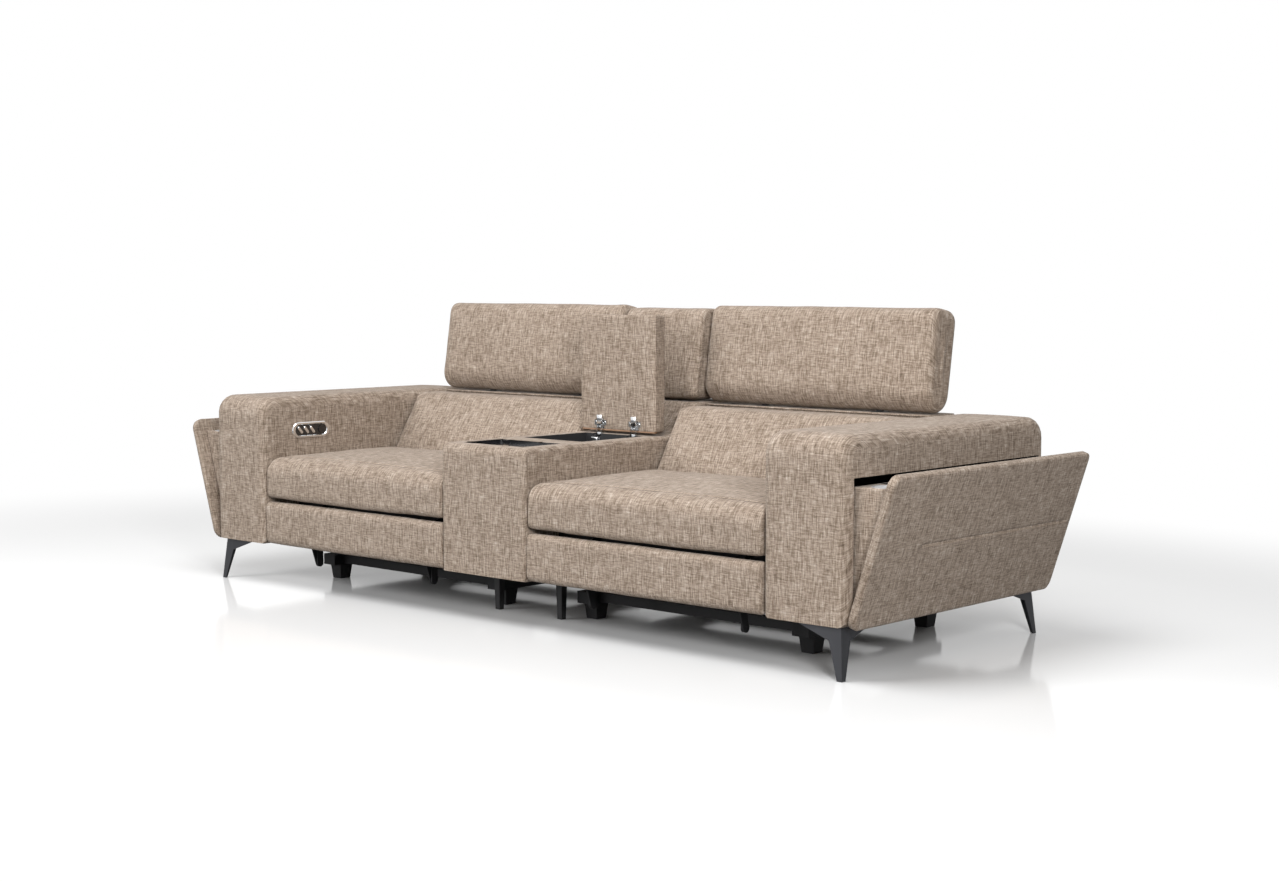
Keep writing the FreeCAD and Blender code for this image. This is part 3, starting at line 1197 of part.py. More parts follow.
# A steel base under each seat: two rails on four feet, ties across, uprights and the actuator
def make_mechanism(label, side):
    y = back_from_front
    rail_z = (foot_height, foot_height + rail_height)
    deck_under = seat_base - seat_fit - deck_thick
    parts = []
    for tag, place in (("inner", rail_place_in), ("outer", rail_place_out)):
        parts.append(block(f"{label}_{tag}_rail", across(side, place - rail_width / 2, place + rail_width / 2),
                           (y(rail_front), y(rail_rear)), rail_z))
        upright = place + rail_width / 2 - upright_thick if tag == "inner" else place - rail_width / 2
        parts.append(block(f"{label}_{tag}_upright", across(side, upright, upright + upright_thick),
                           (y(upright_front), y(upright_front + upright_length)),
                           (rail_z[0] + tie_lift, deck_under)))
    for i, tie in enumerate((foot_front, tie_middle, foot_rear)):
        parts.append(block(f"{label}_tie_{i}", across(side, rail_place_in, rail_place_out),
                           (y(tie) - tie_size / 2, y(tie) + tie_size / 2),
                           (rail_z[0] + tie_lift, rail_z[0] + tie_lift + tie_size)))
    height = rail_z[0] + tie_lift + tie_size + motor_radius - motor_seat
    parts.append(rod(label + "_motor", "y", y(tie_middle) - motor_length / 2, y(tie_middle) + motor_length / 2,
                     side * seat_middle, height, motor_radius))
    parts.append(rod(label + "_spindle", "y", y(tie_middle) - motor_length / 2 - screw_length,
                     y(tie_middle), side * seat_middle, height, screw_radius))
    node(label + "_mechanism_frame", join(label + "_mechanism", *parts))


def taper(x, y, low, top, z0, z1):
    # An upright square post that widens from low to top
    rings = []
    for half, z in ((num(low) / 2, num(z0)), (num(top) / 2, num(z1))):
        spots = [Vector(num(x) + a * half, num(y) + b * half, z) for a, b in
                 ((-1, -1), (1, -1), (1, 1), (-1, 1), (-1, -1))]
        rings.append(Part.makePolygon(spots))
    return Part.makeLoft(rings, True, True)


def make_feet_and_posts():
    feet = []
    for label, side in SIDES:
        for place in (rail_place_in, rail_place_out):
            for at in (foot_front, foot_rear):
                feet.append(taper(side * place, back_from_front(at), foot_low, foot_top, 0, foot_height))
    node("mechanism_feet", plain("feet", Part.makeCompound(feet)))
    posts = [taper(side * post_place, back_from_front(post_back), post_low, post_top, 0, ground_gap)
             for label, side in SIDES]
    node("console_legs", plain("posts", Part.makeCompound(posts)))


# A corner leg folded from plate: two tapering faces that meet in a splayed ridge, each with a wing
def make_corner_leg(label, side, end):
    foot = Vector(side * num(half_width - leg_side), end * num(overall_depth / 2 - leg_front), 0)
    lean = Vector(-side * num(leg_splay), -end * num(leg_splay), num(ground_gap))
    knee = num(ground_gap - leg_knee_drop) / num(ground_gap)
    faces = []
    for along, thick in ((Vector(-side, 0, 0), Vector(0, -end, 0)), (Vector(0, -end, 0), Vector(-side, 0, 0))):
        spots = [foot, foot + along * num(leg_tip), foot + lean * knee + along * num(leg_knee),
                 foot + lean + along * num(leg_wing), foot + lean, foot]
        faces.append(Part.Face(Part.makePolygon(spots)).extrude(thick * num(leg_plate)))
    corner = foot + lean
    size = num(leg_flange)
    flange = Part.makeBox(size, size, num(leg_plate), Vector(
        corner.x if side < 0 else corner.x - size, corner.y if end < 0 else corner.y - size,
        num(ground_gap - leg_plate)))
    whole = faces[0].fuse([faces[1], flange]).removeSplitter()
    node(f"{label}_{'front' if end < 0 else 'rear'}_leg", plain(f"{label}_leg_{end}", whole))


def make_switch_panel(label, side):
    y0 = back_from_front(switch_back)
    inner = (switch_length - 2 * bezel_ends, switch_height - 2 * bezel_width)
    face = plate_proud
    bezel = new_body(label + "_bezel_body")
    xs = across(side, arm_inner - bezel_thick, arm_inner)
    extrude(bezel, "Pad", "YZ_Plane", xs[0], xs[1], pill(switch_length, switch_height), "Bezel")
    extrude(bezel, "Pocket", "YZ_Plane", xs[0] - 1, xs[1] + 1, pill(*inner), "BezelOpening")
    room = xs[0] if side > 0 else xs[1]
    round_edges(bezel, "BezelBevel", bezel_thick * 0.6, lies_at("x", room), "Chamfer")

    plate = new_body(label + "_plate_body")
    xs = across(side, arm_inner - face, arm_inner + switch_sink - seat_fit)
    extrude(plate, "Pad", "YZ_Plane", xs[0], xs[1],
            pill(inner[0] - seat_fit * 2, inner[1] - seat_fit * 2), "SwitchPlate")
    floor = arm_inner - face + pocket_depth
    xs = across(side, arm_inner - face - 1, floor)
    for i in range(3):
        extrude(plate, "Pocket", "YZ_Plane", xs[0], xs[1], rocker_outline(i, button_gap), f"RockerPocket{i}")
    knob_spot = (y0 + knob_place, switch_up)
    extrude(plate, "Pocket", "YZ_Plane", xs[0], xs[1], circles((*knob_spot, knob_radius + button_gap)),
            "KnobPocket")
    stem_xs = across(side, floor - 1, arm_inner + switch_sink)
    extrude(plate, "Pocket", "YZ_Plane", stem_xs[0], stem_xs[1], circles((*knob_spot, stem_radius + pin_play)),
            "StemBore")

    for i in range(3):
        body = new_body(f"{label}_rocker_body_{i}")
        xs = across(side, arm_inner - face - rocker_rise, floor - ridge_radius - seat_fit)
        extrude(body, "Pad", "YZ_Plane", xs[0], xs[1], rocker_outline(i, as_size(0)), "Rocker")
        room = xs[0] if side > 0 else xs[1]
        round_edges(body, "RockerBevel", rocker_edge, lies_at("x", room), "Chamfer")
        ridge = rocker_ridge(f"{label}_ridge_{i}", side, i, floor - ridge_radius - seat_fit)
        node(f"{label}_rocker_{i + 1}", join(f"{label}_rocker_whole_{i}", body, ridge))
    xs = across(side, arm_inner - face - knob_rise, floor - knob_travel - 1)
    knob = rod(label + "_knob", "x", xs[0], xs[1], *knob_spot, knob_radius)
    xs = across(side, floor - knob_travel - 2, arm_inner + switch_sink - knob_travel - 1)
    stem = rod(label + "_knob_stem", "x", xs[0], xs[1], *knob_spot, stem_radius)
    node(f"{label}_round_button", join(f"{label}_knob_whole", knob, stem))
    return bezel, plate


def rocker_centre(i):
    return back_from_front(switch_back) - rocker_first + rocker_pitch * i, switch_up


def rocker_outline(i, gap):
    y, z = rocker_centre(i)
    half_length = rocker_length / 2 + gap
    half_width_ = rocker_width / 2 + gap
    up = (-sine(rocker_slant), cosine(rocker_slant))
    aside = (up[1], -up[0])
    spots = [(y + up[0] * a * half_length + aside[0] * b * half_width_,
              z + up[1] * a * half_length + aside[1] * b * half_width_, half_width_ * 0.98)
             for a, b in ((-1, -1), (-1, 1), (1, 1), (1, -1))]
    return outline(*spots)


def rocker_ridge(name, side, i, depth):
    # The ridge under a rocker that it tips on, square to the rocker's length
    y, z = rocker_centre(i)
    aside = Vector(0, num(cosine(rocker_slant)), num(sine(rocker_slant)))
    half = num(rocker_width) * 0.4
    start = Vector(side * num(depth), num(y), num(z)) - aside * half
    return plain(name, Part.makeCylinder(num(ridge_radius), 2 * half, start, aside))


def make_centre_back():
    half = num(inner_side - piece_gap * 1.5)
    node("centre_back_pillow", plain("pillow", padded(1, -half, half, pillow_side, pillow_profile)))
    skirts = []
    for label, side in SIDES:
        skirts.append(block(label + "_skirt", across(side, console_side + seat_fit, arm_inner - seat_fit),
                            (back_from_front(skirt_rear) - skirt_thick, back_from_front(skirt_rear)),
                            (ground_gap, skirt_top)))
    node("rear_skirts", group("skirts", *skirts))


make_console()
bezels = []
plates = []
for label, side in SIDES:
    make_arm(side)
    make_arm_liner(side)
    make_flap_panel(side)
    make_flap_bin(side)
    make_cup_holder(side)
    make_seat(label, side)
    make_back_frame(label, side)
    make_deck(label, side)
    make_footrest(label, side)
    make_mechanism(label, side)
    for end in (-1, 1):
        make_corner_leg(label, side, end)
    bezel, plate = make_switch_panel(label, side)
    bezels.append(bezel)
    plates.append(plate)
node("switch_bezels", group("bezel_group", *bezels))
node("switch_plates", group("plate_group", *plates))
make_flap_hinges()
make_console_insides()
make_lid()
make_centre_back()
make_feet_and_posts()

doc.recompute()
os.makedirs("parts", exist_ok=True)
failed = [thing.Name for thing in doc.Objects if "Invalid" in thing.State or "Error" in thing.State]
for name, thing in nodes.items():
    if thing.Shape.isNull() or not thing.Shape.isValid():
        failed.append(name)
if failed:
    raise SystemExit("failed: " + ", ".join(failed))
for name, thing in nodes.items():
    thing.Shape.exportStep(f"parts/{name}.step")
    box = thing.Shape.BoundBox
    print(f"{name}: {box.XMin:.1f} {box.XMax:.1f}  {box.YMin:.1f} {box.YMax:.1f}  {box.ZMin:.1f} {box.ZMax:.1f}"
          f"  solids {len(thing.Shape.Solids)}")
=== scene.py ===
import json
import math

import bmesh
import bpy
from mathutils import Matrix, Vector, noise
from mathutils.bvhtree import BVHTree


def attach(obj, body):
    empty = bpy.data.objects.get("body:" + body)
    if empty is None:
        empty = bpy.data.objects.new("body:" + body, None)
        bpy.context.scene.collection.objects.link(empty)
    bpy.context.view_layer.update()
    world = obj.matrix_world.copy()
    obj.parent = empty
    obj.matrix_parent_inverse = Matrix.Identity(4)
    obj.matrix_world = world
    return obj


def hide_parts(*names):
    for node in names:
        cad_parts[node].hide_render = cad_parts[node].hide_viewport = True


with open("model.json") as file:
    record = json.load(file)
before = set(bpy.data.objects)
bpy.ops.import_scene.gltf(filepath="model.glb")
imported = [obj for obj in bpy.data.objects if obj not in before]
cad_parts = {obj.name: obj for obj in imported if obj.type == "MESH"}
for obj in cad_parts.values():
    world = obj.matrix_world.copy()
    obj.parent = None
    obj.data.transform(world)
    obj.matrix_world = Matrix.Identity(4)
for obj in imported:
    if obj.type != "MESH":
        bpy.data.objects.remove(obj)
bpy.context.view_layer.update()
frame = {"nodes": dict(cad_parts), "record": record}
print("frame loaded:", len(frame["nodes"]), "nodes")

sides = (("left", -1), ("right", 1))

# Sizes that several pieces share, in millimetres from the middle of the sofa or from the floor
sofa = {
    "front": -510, "rear": 510, "underside": 143, "armInner": 1115, "consoleHalf": 190, "panelGap": 2,
    "cushionGap": 4, "consoleTop": 558, "shelf": 664,
}


# Materials

class Wire:
    # one output of a shader node; a sum on it adds Math nodes
    def __init__(self, paint, socket):
        self.paint = paint
        self.socket = socket

    def sum(self, operation, *others):
        return self.paint.node("ShaderNodeMath", {"operation": operation}, [self, *others])

    def __add__(self, other):
        return self.sum("ADD", other)

    def __sub__(self, other):
        return self.sum("SUBTRACT", other)

    def __rsub__(self, other):
        return self.paint.node("ShaderNodeMath", {"operation": "SUBTRACT"}, [other, self])

    def __mul__(self, other):
        return self.sum("MULTIPLY", other)

    def __truediv__(self, other):
        return self.sum("DIVIDE", other)

    def __pow__(self, other):
        return self.sum("POWER", other)

    __radd__ = __add__
    __rmul__ = __mul__


class Paint:
    # the nodes of a new material, or of a world that is given
    def __init__(self, name, world=None):
        self.owner = world or bpy.data.materials.new(name)
        self.owner.use_nodes = True
        self.tree = self.owner.node_tree
        self.tree.nodes.clear()
        self.out = self.tree.nodes.new("ShaderNodeOutputWorld" if world else "ShaderNodeOutputMaterial")

    def node(self, kind, settings=None, inputs=None, output=0):
        made = self.tree.nodes.new(kind)
        for name, value in (settings or {}).items():
            if name == "stops":
                ramp = made.color_ramp
                while len(ramp.elements) > len(value):
                    ramp.elements.remove(ramp.elements[-1])
                while len(ramp.elements) < len(value):
                    ramp.elements.new(1.0)
                for element, (place, colour) in zip(ramp.elements, value):
                    element.position = place
                    element.color = (*colour, 1.0)
            else:
                setattr(made, name, value)
        pairs = enumerate(inputs) if isinstance(inputs, list) else (inputs or {}).items()
        for key, value in pairs:
            socket = made.inputs[key]
            if isinstance(value, Wire):
                self.tree.links.new(value.socket, socket)
            elif isinstance(value, tuple) and len(value) == 3 and socket.type == "RGBA":
                socket.default_value = (*value, 1.0)
            else:
                socket.default_value = value
        return Wire(self, made.outputs[output])

    def vector(self, x, y, z):
        return self.node("ShaderNodeCombineXYZ", {}, [x, y, z])

    def place(self):
        return self.node("ShaderNodeTexCoord", output="Object")

    def parts(self, wire):
        split = self.tree.nodes.new("ShaderNodeSeparateXYZ")
        self.tree.links.new(wire.socket, split.inputs[0])
        return [Wire(self, output) for output in split.outputs]

    def noise(self, place, scale, detail=2.0, roughness=0.5, distortion=0.0):
        return self.node("ShaderNodeTexNoise", {"noise_dimensions": "3D"}, {
            "Vector": place, "Scale": scale, "Detail": detail, "Roughness": roughness,
            "Distortion": distortion})

    def ramp(self, wire, low, high):
        # 0 below low, 1 above high and an even rise between
        return self.node("ShaderNodeMapRange", {"interpolation_type": "SMOOTHSTEP"},
                         {"Value": wire, "From Min": low, "From Max": high})

    def mix(self, factor, first, second):
        made = self.node("ShaderNodeMix", {"data_type": "RGBA"}, {}, 2)
        sockets = made.socket.node.inputs
        for socket, value in ((sockets[0], factor), (sockets[6], first), (sockets[7], second)):
            if isinstance(value, Wire):
                self.tree.links.new(value.socket, socket)
            else:
                socket.default_value = (*value, 1.0) if isinstance(value, tuple) else value
        return made

    def bump(self, height, strength, distance):
        return self.node("ShaderNodeBump", {}, {
            "Height": height, "Strength": strength, "Distance": distance})

    def blend(self, factor, first, second):
        return self.node("ShaderNodeMixShader", {}, [factor, first, second])

    def finish(self, shader):
        self.tree.links.new(shader.socket, self.out.inputs["Surface"])
        return self.owner

    def surface(self, inputs):
        return self.finish(self.node("ShaderNodeBsdfPrincipled", {}, inputs))


# The cloth: sizes in metres, and how much each pattern changes the tone
weave = {
    "thread": 0.0036, "run": 0.034, "weftRun": 0.0272, "grain": 0.0016, "pitch": 0.0042,
    "wander": 0.0044, "wanderScale": 11.0, "slowScale": 12.0, "fray": 0.65,
    "warp": 0.80, "weft": 0.62, "fleck": 0.30, "slow": 0.10, "middle": 0.54, "rowShade": 0.07,
    "lineShade": 0.05, "rough": 0.93, "bump": 0.6, "bumpDepth": 0.0010, "sheen": 0.08,
    "tones": ((0.26, (0.116, 0.084, 0.060)), (0.41, (0.218, 0.166, 0.126)),
              (0.52, (0.296, 0.234, 0.183)), (0.64, (0.382, 0.314, 0.257)),
              (0.82, (0.565, 0.495, 0.425))),
}
# Where each pattern is cut out of the noise, so that no two are alike
layers = {"wanderU": 0.3, "wanderV": 7.9, "warp": 1.7, "weft": 5.3, "fleck": 9.1, "slow": 4.4}


def slubWeave(name, onUv=True, tint=1.0):
    # a plain weave of uneven yarns: light and dark runs lie along single threads both ways
    paint = Paint(name)
    if onUv:
        u, v, _ = paint.parts(paint.node("ShaderNodeUVMap", {"uv_map": "weave"}))
    else:
        x, y, z = paint.parts(paint.place())
        u = x + y * 0.8
        v = z + y * 0.6
    first = paint.noise(paint.vector(u, v, layers["wanderU"]), weave["wanderScale"], 1.0)
    second = paint.noise(paint.vector(u, v, layers["wanderV"]), weave["wanderScale"], 1.0)
    u = u + (first - 0.5) * weave["wander"]
    v = v + (second - 0.5) * weave["wander"]
    thread, grain, fray = weave["thread"], weave["grain"], weave["fray"]
    warp = paint.noise(paint.vector(u / thread, v / weave["run"], layers["warp"]), 1.0, 2.0, fray)
    weft = paint.noise(paint.vector(u / weave["weftRun"], v / thread, layers["weft"]), 1.0, 2.0, fray)
    fleck = paint.noise(paint.vector(u / grain, v / grain, layers["fleck"]), 1.0, 1.0)
    slow = paint.noise(paint.vector(u, v, layers["slow"]), weave["slowScale"], 2.0)
    level = (warp - 0.5) * weave["warp"] + (weft - 0.5) * weave["weft"]
    level = level + (fleck - 0.5) * weave["fleck"] + (slow - 0.5) * weave["slow"]
    rows = (u * (math.pi / weave["pitch"])).sum("SINE").sum("ABSOLUTE")
    lines = (v * (math.pi / weave["pitch"])).sum("SINE").sum("ABSOLUTE")
    level = level + weave["middle"] - (1.0 - rows) * weave["rowShade"] - (1.0 - lines) * weave["lineShade"]
    colour = paint.node("ShaderNodeValToRGB", {"stops": [
        (place, tuple(c * tint for c in tone)) for place, tone in weave["tones"]]}, [level])
    height = rows * lines * 0.5 + level * 1.2
    return paint.surface({
        "Base Color": colour, "Roughness": weave["rough"],
        "Normal": paint.bump(height, weave["bump"], weave["bumpDepth"]),
        "Sheen Weight": weave["sheen"], "Sheen Roughness": 0.5, "Specular IOR Level": 0.2})


def plainFinish(name, colour, rough, metal=0.0, grain=300.0, bump=0.04, coat=0.0):
    # moulded or painted: a little unevenness in gloss and a fine grain
    paint = Paint(name)
    place = paint.place()
    uneven = paint.noise(place, 12.0, 3.0)
    fine = paint.noise(place, grain, 2.0)
    return paint.surface({
        "Base Color": paint.mix(uneven * 0.25, colour, tuple(min(1.0, c * 1.35 + 0.004) for c in colour)),
        "Metallic": metal, "Roughness": uneven * 0.12 + (rough - 0.06),
        "Normal": paint.bump(fine, bump, 0.0004), "Coat Weight": coat})


def brushedMetal(name, colour, rough):
    # fine turned lines round the upright axis
    paint = Paint(name)
    x, y, z = paint.parts(paint.place())
    lines = paint.noise(paint.vector(x * 0.05, y * 0.05, z), 1600.0, 2.0)
    return paint.surface({
        "Base Color": paint.mix(lines * 0.3, colour, tuple(c * 0.7 for c in colour)),
        "Metallic": 0.72, "Roughness": lines * 0.15 + rough,
        "Normal": paint.bump(lines, 0.08, 0.0002)})


def woodGrain(name, colour):
    paint = Paint(name)
    x, y, z = paint.parts(paint.place())
    grain = paint.noise(paint.vector(x * 0.2, y * 6.0, z * 6.0), 30.0, 4.0, 0.6, 0.6)
    return paint.surface({
        "Base Color": paint.mix(grain, colour, tuple(c * 0.55 for c in colour)),
        "Roughness": grain * 0.2 + 0.45, "Normal": paint.bump(grain, 0.1, 0.0005)})


finishes = {
    "fabric": slubWeave("slubFabric"),
    "backing": slubWeave("fabricOnFrame", False, 0.92),
    # painted shade: the dark colour of the threads that draw the shaded groove of a seam
    "seamLine": plainFinish("seamShade", (0.085, 0.060, 0.042), 0.95, grain=900.0, bump=0.2),
    "thread": plainFinish("stitchThread", (0.40, 0.315, 0.245), 0.8, grain=900.0, bump=0.2),
    "gunmetal": plainFinish("gunmetalPaint", (0.055, 0.056, 0.062), 0.34, 0.75, coat=0.2),
    "black_steel": plainFinish("blackSteel", (0.012, 0.012, 0.013), 0.5, 0.3),
    "black_plastic": plainFinish("blackPlastic", (0.016, 0.016, 0.017), 0.45, grain=700.0, bump=0.12),
    "dark_liner": plainFinish("darkLining", (0.010, 0.010, 0.011), 0.85, grain=1400.0, bump=0.3),
    "gloss_black": plainFinish("glossBlack", (0.006, 0.006, 0.007), 0.16, coat=0.7),
    "chrome": plainFinish("chromePlate", (0.78, 0.79, 0.80), 0.12, 1.0, bump=0.01),
    "brushed_steel": brushedMetal("brushedSteel", (0.84, 0.84, 0.85), 0.24),
    "wood": woodGrain("lidBoard", (0.33, 0.19, 0.11)),
}
print("materials made:", len(finishes))


# Meshes

def addObject(name, mesh, *materials):
    thing = bpy.data.objects.new(name, mesh)
    bpy.context.scene.collection.objects.link(thing)
    for material in materials:
        mesh.materials.append(finishes[material])
    return thing


def settle(thing):
    # applies what modifiers there are and leaves a plain mesh
    graph = bpy.context.evaluated_depsgraph_get()
    graph.update()
    mesh = bpy.data.meshes.new_from_object(thing.evaluated_get(graph), preserve_all_data_layers=True,
                                           depsgraph=graph)
    thing.modifiers.clear()
    old = thing.data
    thing.data = mesh
    bpy.data.meshes.remove(old)
    return thing


def shadeSmooth(thing, angle=None):
    mesh = thing.data
    mesh.shade_smooth()
    if angle is not None:
        mesh.set_sharp_from_angle(angle=math.radians(angle))
    return thing


def subdivided(thing):
    modifier = thing.modifiers.new("smooth", "SUBSURF")
    modifier.levels = 1
    modifier.render_levels = 1
    return settle(thing)


def cutAway(thing, *cutters):
    # takes cutters out of a piece; a cut face keeps the cutter's finish
    for cutter in cutters:
        modifier = thing.modifiers.new("cut", "BOOLEAN")
        modifier.operation = "DIFFERENCE"
        modifier.solver = "EXACT"
        modifier.material_mode = "TRANSFER"
        modifier.object = cutter
    settle(thing)
    for cutter in cutters:
        bpy.data.objects.remove(cutter)
    return thing


def boxWeave(mesh):
    # a weave map that looks at each face along its own main direction
    layer = mesh.uv_layers.get("weave") or mesh.uv_layers.new(name="weave")
    for face in mesh.polygons:
        n = face.normal
        turn = max(range(3), key=lambda i: abs(n[i]))
        for loop in face.loop_indices:
            p = mesh.vertices[mesh.loops[loop].vertex_index].co
            layer.data[loop].uv = [(p.y, p.z), (p.x, p.z), (p.x, p.y)][turn]


def built(name, bm, *materials, bevel=0.0):
    # the object of a closed set of faces, its edges rounded where a bevel is given
    bmesh.ops.recalc_face_normals(bm, faces=bm.faces)
    if bevel:
        bmesh.ops.bevel(bm, geom=bm.edges[:], offset=bevel / 1000, segments=3, profile=0.5, affect="EDGES")
    mesh = bpy.data.meshes.new(name)
    bm.to_mesh(mesh)
    bm.free()
    return addObject(name, mesh, *materials)


def block(name, low, high, *materials, bevel=0.0):
    # a closed box in millimetres
    bm = bmesh.new()
    bmesh.ops.create_cube(bm, size=1.0)
    for vert in bm.verts:
        spot = [(low[i] + high[i]) / 2 + vert.co[i] * (high[i] - low[i]) for i in range(3)]
        vert.co = Vector(spot) / 1000
    thing = built(name, bm, *materials, bevel=bevel)
    boxWeave(thing.data)
    return thing


def prism(name, outline, low, high, axis, *materials, bevel=0.0):
    # a closed straight solid: an outline in the two directions across axis, from low to high
    bm = bmesh.new()
    rings = []
    for level in (low, high):
        spots = [{"x": (level, a, b), "y": (a, level, b), "z": (a, b, level)}[axis] for a, b in outline]
        rings.append([bm.verts.new(Vector(spot) / 1000) for spot in spots])
    bm.faces.new(rings[0])
    bm.faces.new(rings[1])
    for i in range(len(outline)):
        j = (i + 1) % len(outline)
        bm.faces.new((rings[0][i], rings[0][j], rings[1][j], rings[1][i]))
    thing = built(name, bm, *materials, bevel=bevel)
    boxWeave(thing.data)
    return thing


def arc(middle, up, radius, first, sweep, steps, points):
    # points of a circle, of which so many steps make the sweep; angles in degrees
    turns = [math.radians(first + sweep * i / steps) for i in range(points)]
    return [(middle + radius * math.cos(turn), up + radius * math.sin(turn)) for turn in turns]


def circle(middle, up, radius, count):
    return arc(middle, up, radius, 0, 360, count, count)


def lined(cutter):
    # the faces this cutter leaves are black
    for face in cutter.data.polygons:
        face.material_index = 1
    return cutter


def across(side, inner, outer):
    # the two ends of a piece in order, left to right
    return sorted((side * inner, side * outer))


def seatEnds(side, gap):
    return across(side, sofa["consoleHalf"] + gap, sofa["armInner"] - gap)


def inset(corners, distance):
    # an outline moved inward, with its corner radii made smaller
    count = len(corners)
    points = [Vector((c[0], c[1])) for c in corners]
    area = sum(points[i - 1].x * points[i].y - points[i].x * points[i - 1].y for i in range(count))
    turn = 1 if area > 0 else -1
    moved = []
    for i in range(count):
        first = (points[i] - points[i - 1]).normalized()
        second = (points[(i + 1) % count] - points[i]).normalized()
        normal = Vector((-first.y - second.y, first.x + second.x)) * turn
        spot = points[i] + normal * (distance / (1 + first.dot(second)))
        moved.append((spot.x, spot.y, max(corners[i][2] - distance, 1.0)))
    return moved


def fineLoop(corners):
    # the closed outline of straight sides and round corners as a fine chain of points
    count = len(corners)
    points = [Vector((c[0], c[1])) for c in corners]
    chain = []
    for i, corner in enumerate(corners):
        inward = (points[i - 1] - points[i]).normalized()
        outward = (points[(i + 1) % count] - points[i]).normalized()
        half = inward.angle(outward) / 2
        radius = corner[2]
        centre = points[i] + (inward + outward).normalized() * (radius / math.sin(half))
        enter = points[i] + inward * (radius / math.tan(half))
        leave = points[i] + outward * (radius / math.tan(half))
        start, end = enter - centre, leave - centre
        sweep = start.angle_signed(end)
        steps = max(3, int(abs(sweep) * radius / 2.0))
        for k in range(steps + 1):
            turned = start.copy()
            turned.rotate(Matrix.Rotation(-sweep * k / steps, 2))
            chain.append(centre + turned)
    return chain


def sampled(chain, fractions):
    # points of a closed chain at shares of its length, and the length
    lengths = [0.0]
    for i in range(len(chain)):
        lengths.append(lengths[-1] + (chain[(i + 1) % len(chain)] - chain[i]).length)
    total = lengths[-1]
    spots = []
    k = 0
    for share in fractions:
        goal = share * total
        while lengths[k + 1] < goal and k < len(chain) - 1:
            k += 1
        span = max(lengths[k + 1] - lengths[k], 1e-9)
        spots.append(chain[k].lerp(chain[(k + 1) % len(chain)], (goal - lengths[k]) / span))
    return spots, total


def spread(total, step):
    # even places along a length
    count = max(2, round(total / step))
    return [round(total * i / count, 4) for i in range(count)]


# How a padded outline grows from its ends to its middle, and the rows that its rounded ends have
padding = {"least": 0.25, "fullness": 0.7, "endRows": 5}


def bolster(name, profile, low, high, edge, drawn=4.0, step=17.0, place=Vector, capRings=5,
            materials=("fabric",)):
    # A padded piece: an outline that runs across the sofa with rounded ends. Each corner that
    # profile gives for a fullness is its depth, its height and its radius.
    _, total = sampled(fineLoop(profile(1.0)), [0.0])
    around = [spot / total for spot in spread(total, step)]
    width = high - low
    turns = [math.pi / 2 * i / padding["endRows"] for i in range(padding["endRows"])]
    ends = [(edge * (1 - math.cos(turn)), edge * (1 - math.sin(turn))) for turn in turns]
    straight = [(edge + spot, 0.0) for spot in spread(width - 2 * edge, step) + [width - 2 * edge]]
    stations = ends + straight + [(width - along, shrink) for along, shrink in reversed(ends)]
    bm = bmesh.new()
    layer = bm.loops.layers.uv.new("weave")

    def capFace(verts, flip):
        face = bm.faces.new(verts if flip else verts[::-1])
        for loop in face.loops:
            loop[layer].uv = (loop.vert.co.y, loop.vert.co.z)
    rings = []
    for along, shrink in stations:
        swell = math.sin(math.pi * min(max(along / width, 0), 1)) ** padding["fullness"]
        crown = padding["least"] + (1 - padding["least"]) * swell
        spots, _ = sampled(fineLoop(inset(profile(crown), shrink + drawn * (1 - swell))), around)
        rings.append([bm.verts.new(place(Vector((low + along, spot.x, spot.y))) / 1000) for spot in spots])
    count = len(around)
    for i in range(len(rings) - 1):
        for j in range(count):
            k = (j + 1) % count
            face = bm.faces.new((rings[i][j], rings[i][k], rings[i + 1][k], rings[i + 1][j]))
            here, there = stations[i][0], stations[i + 1][0]
            start, end = around[j], around[k] or 1.0
            for loop, (u, v) in zip(face.loops, ((here, start), (here, end), (there, end), (there, start))):
                loop[layer].uv = ((low + u) / 1000, v * total / 1000)
    for ring, flip in ((rings[0], True), (rings[-1], False)):
        centre = sum((vert.co for vert in ring), Vector()) / count
        last = ring
        for k in range(1, capRings + 1):
            share = 1 - k / (capRings + 0.5)
            inner = [bm.verts.new(centre + (vert.co - centre) * share) for vert in ring]
            for j in range(count):
                m = (j + 1) % count
                capFace((last[j], last[m], inner[m], inner[j]), flip)
            last = inner
        capFace(last, flip)
    return shadeSmooth(built(name, bm, *materials))


def steps(low, high, step, near, seams=()):
    # places from low to high: close together at the ends and at seams, even between
    ends = [0.0, 0.13, 0.3, 0.55, 1.0]
    places = {round(low + near * e, 3) for e in ends} | {round(high - near * e, 3) for e in ends}
    count = max(2, round((high - low - 2 * near) / step))
    for i in range(1, count):
        place = low + near + (high - low - 2 * near) * i / count
        if all(abs(place - seam) > 9 for seam in seams):
            places.add(round(place, 3))
    for seam in seams:
        places.update(round(seam + off, 3) for off in (-8, -5, -3, -1.5, 0, 1.5, 3, 5, 8))
    return sorted(places)


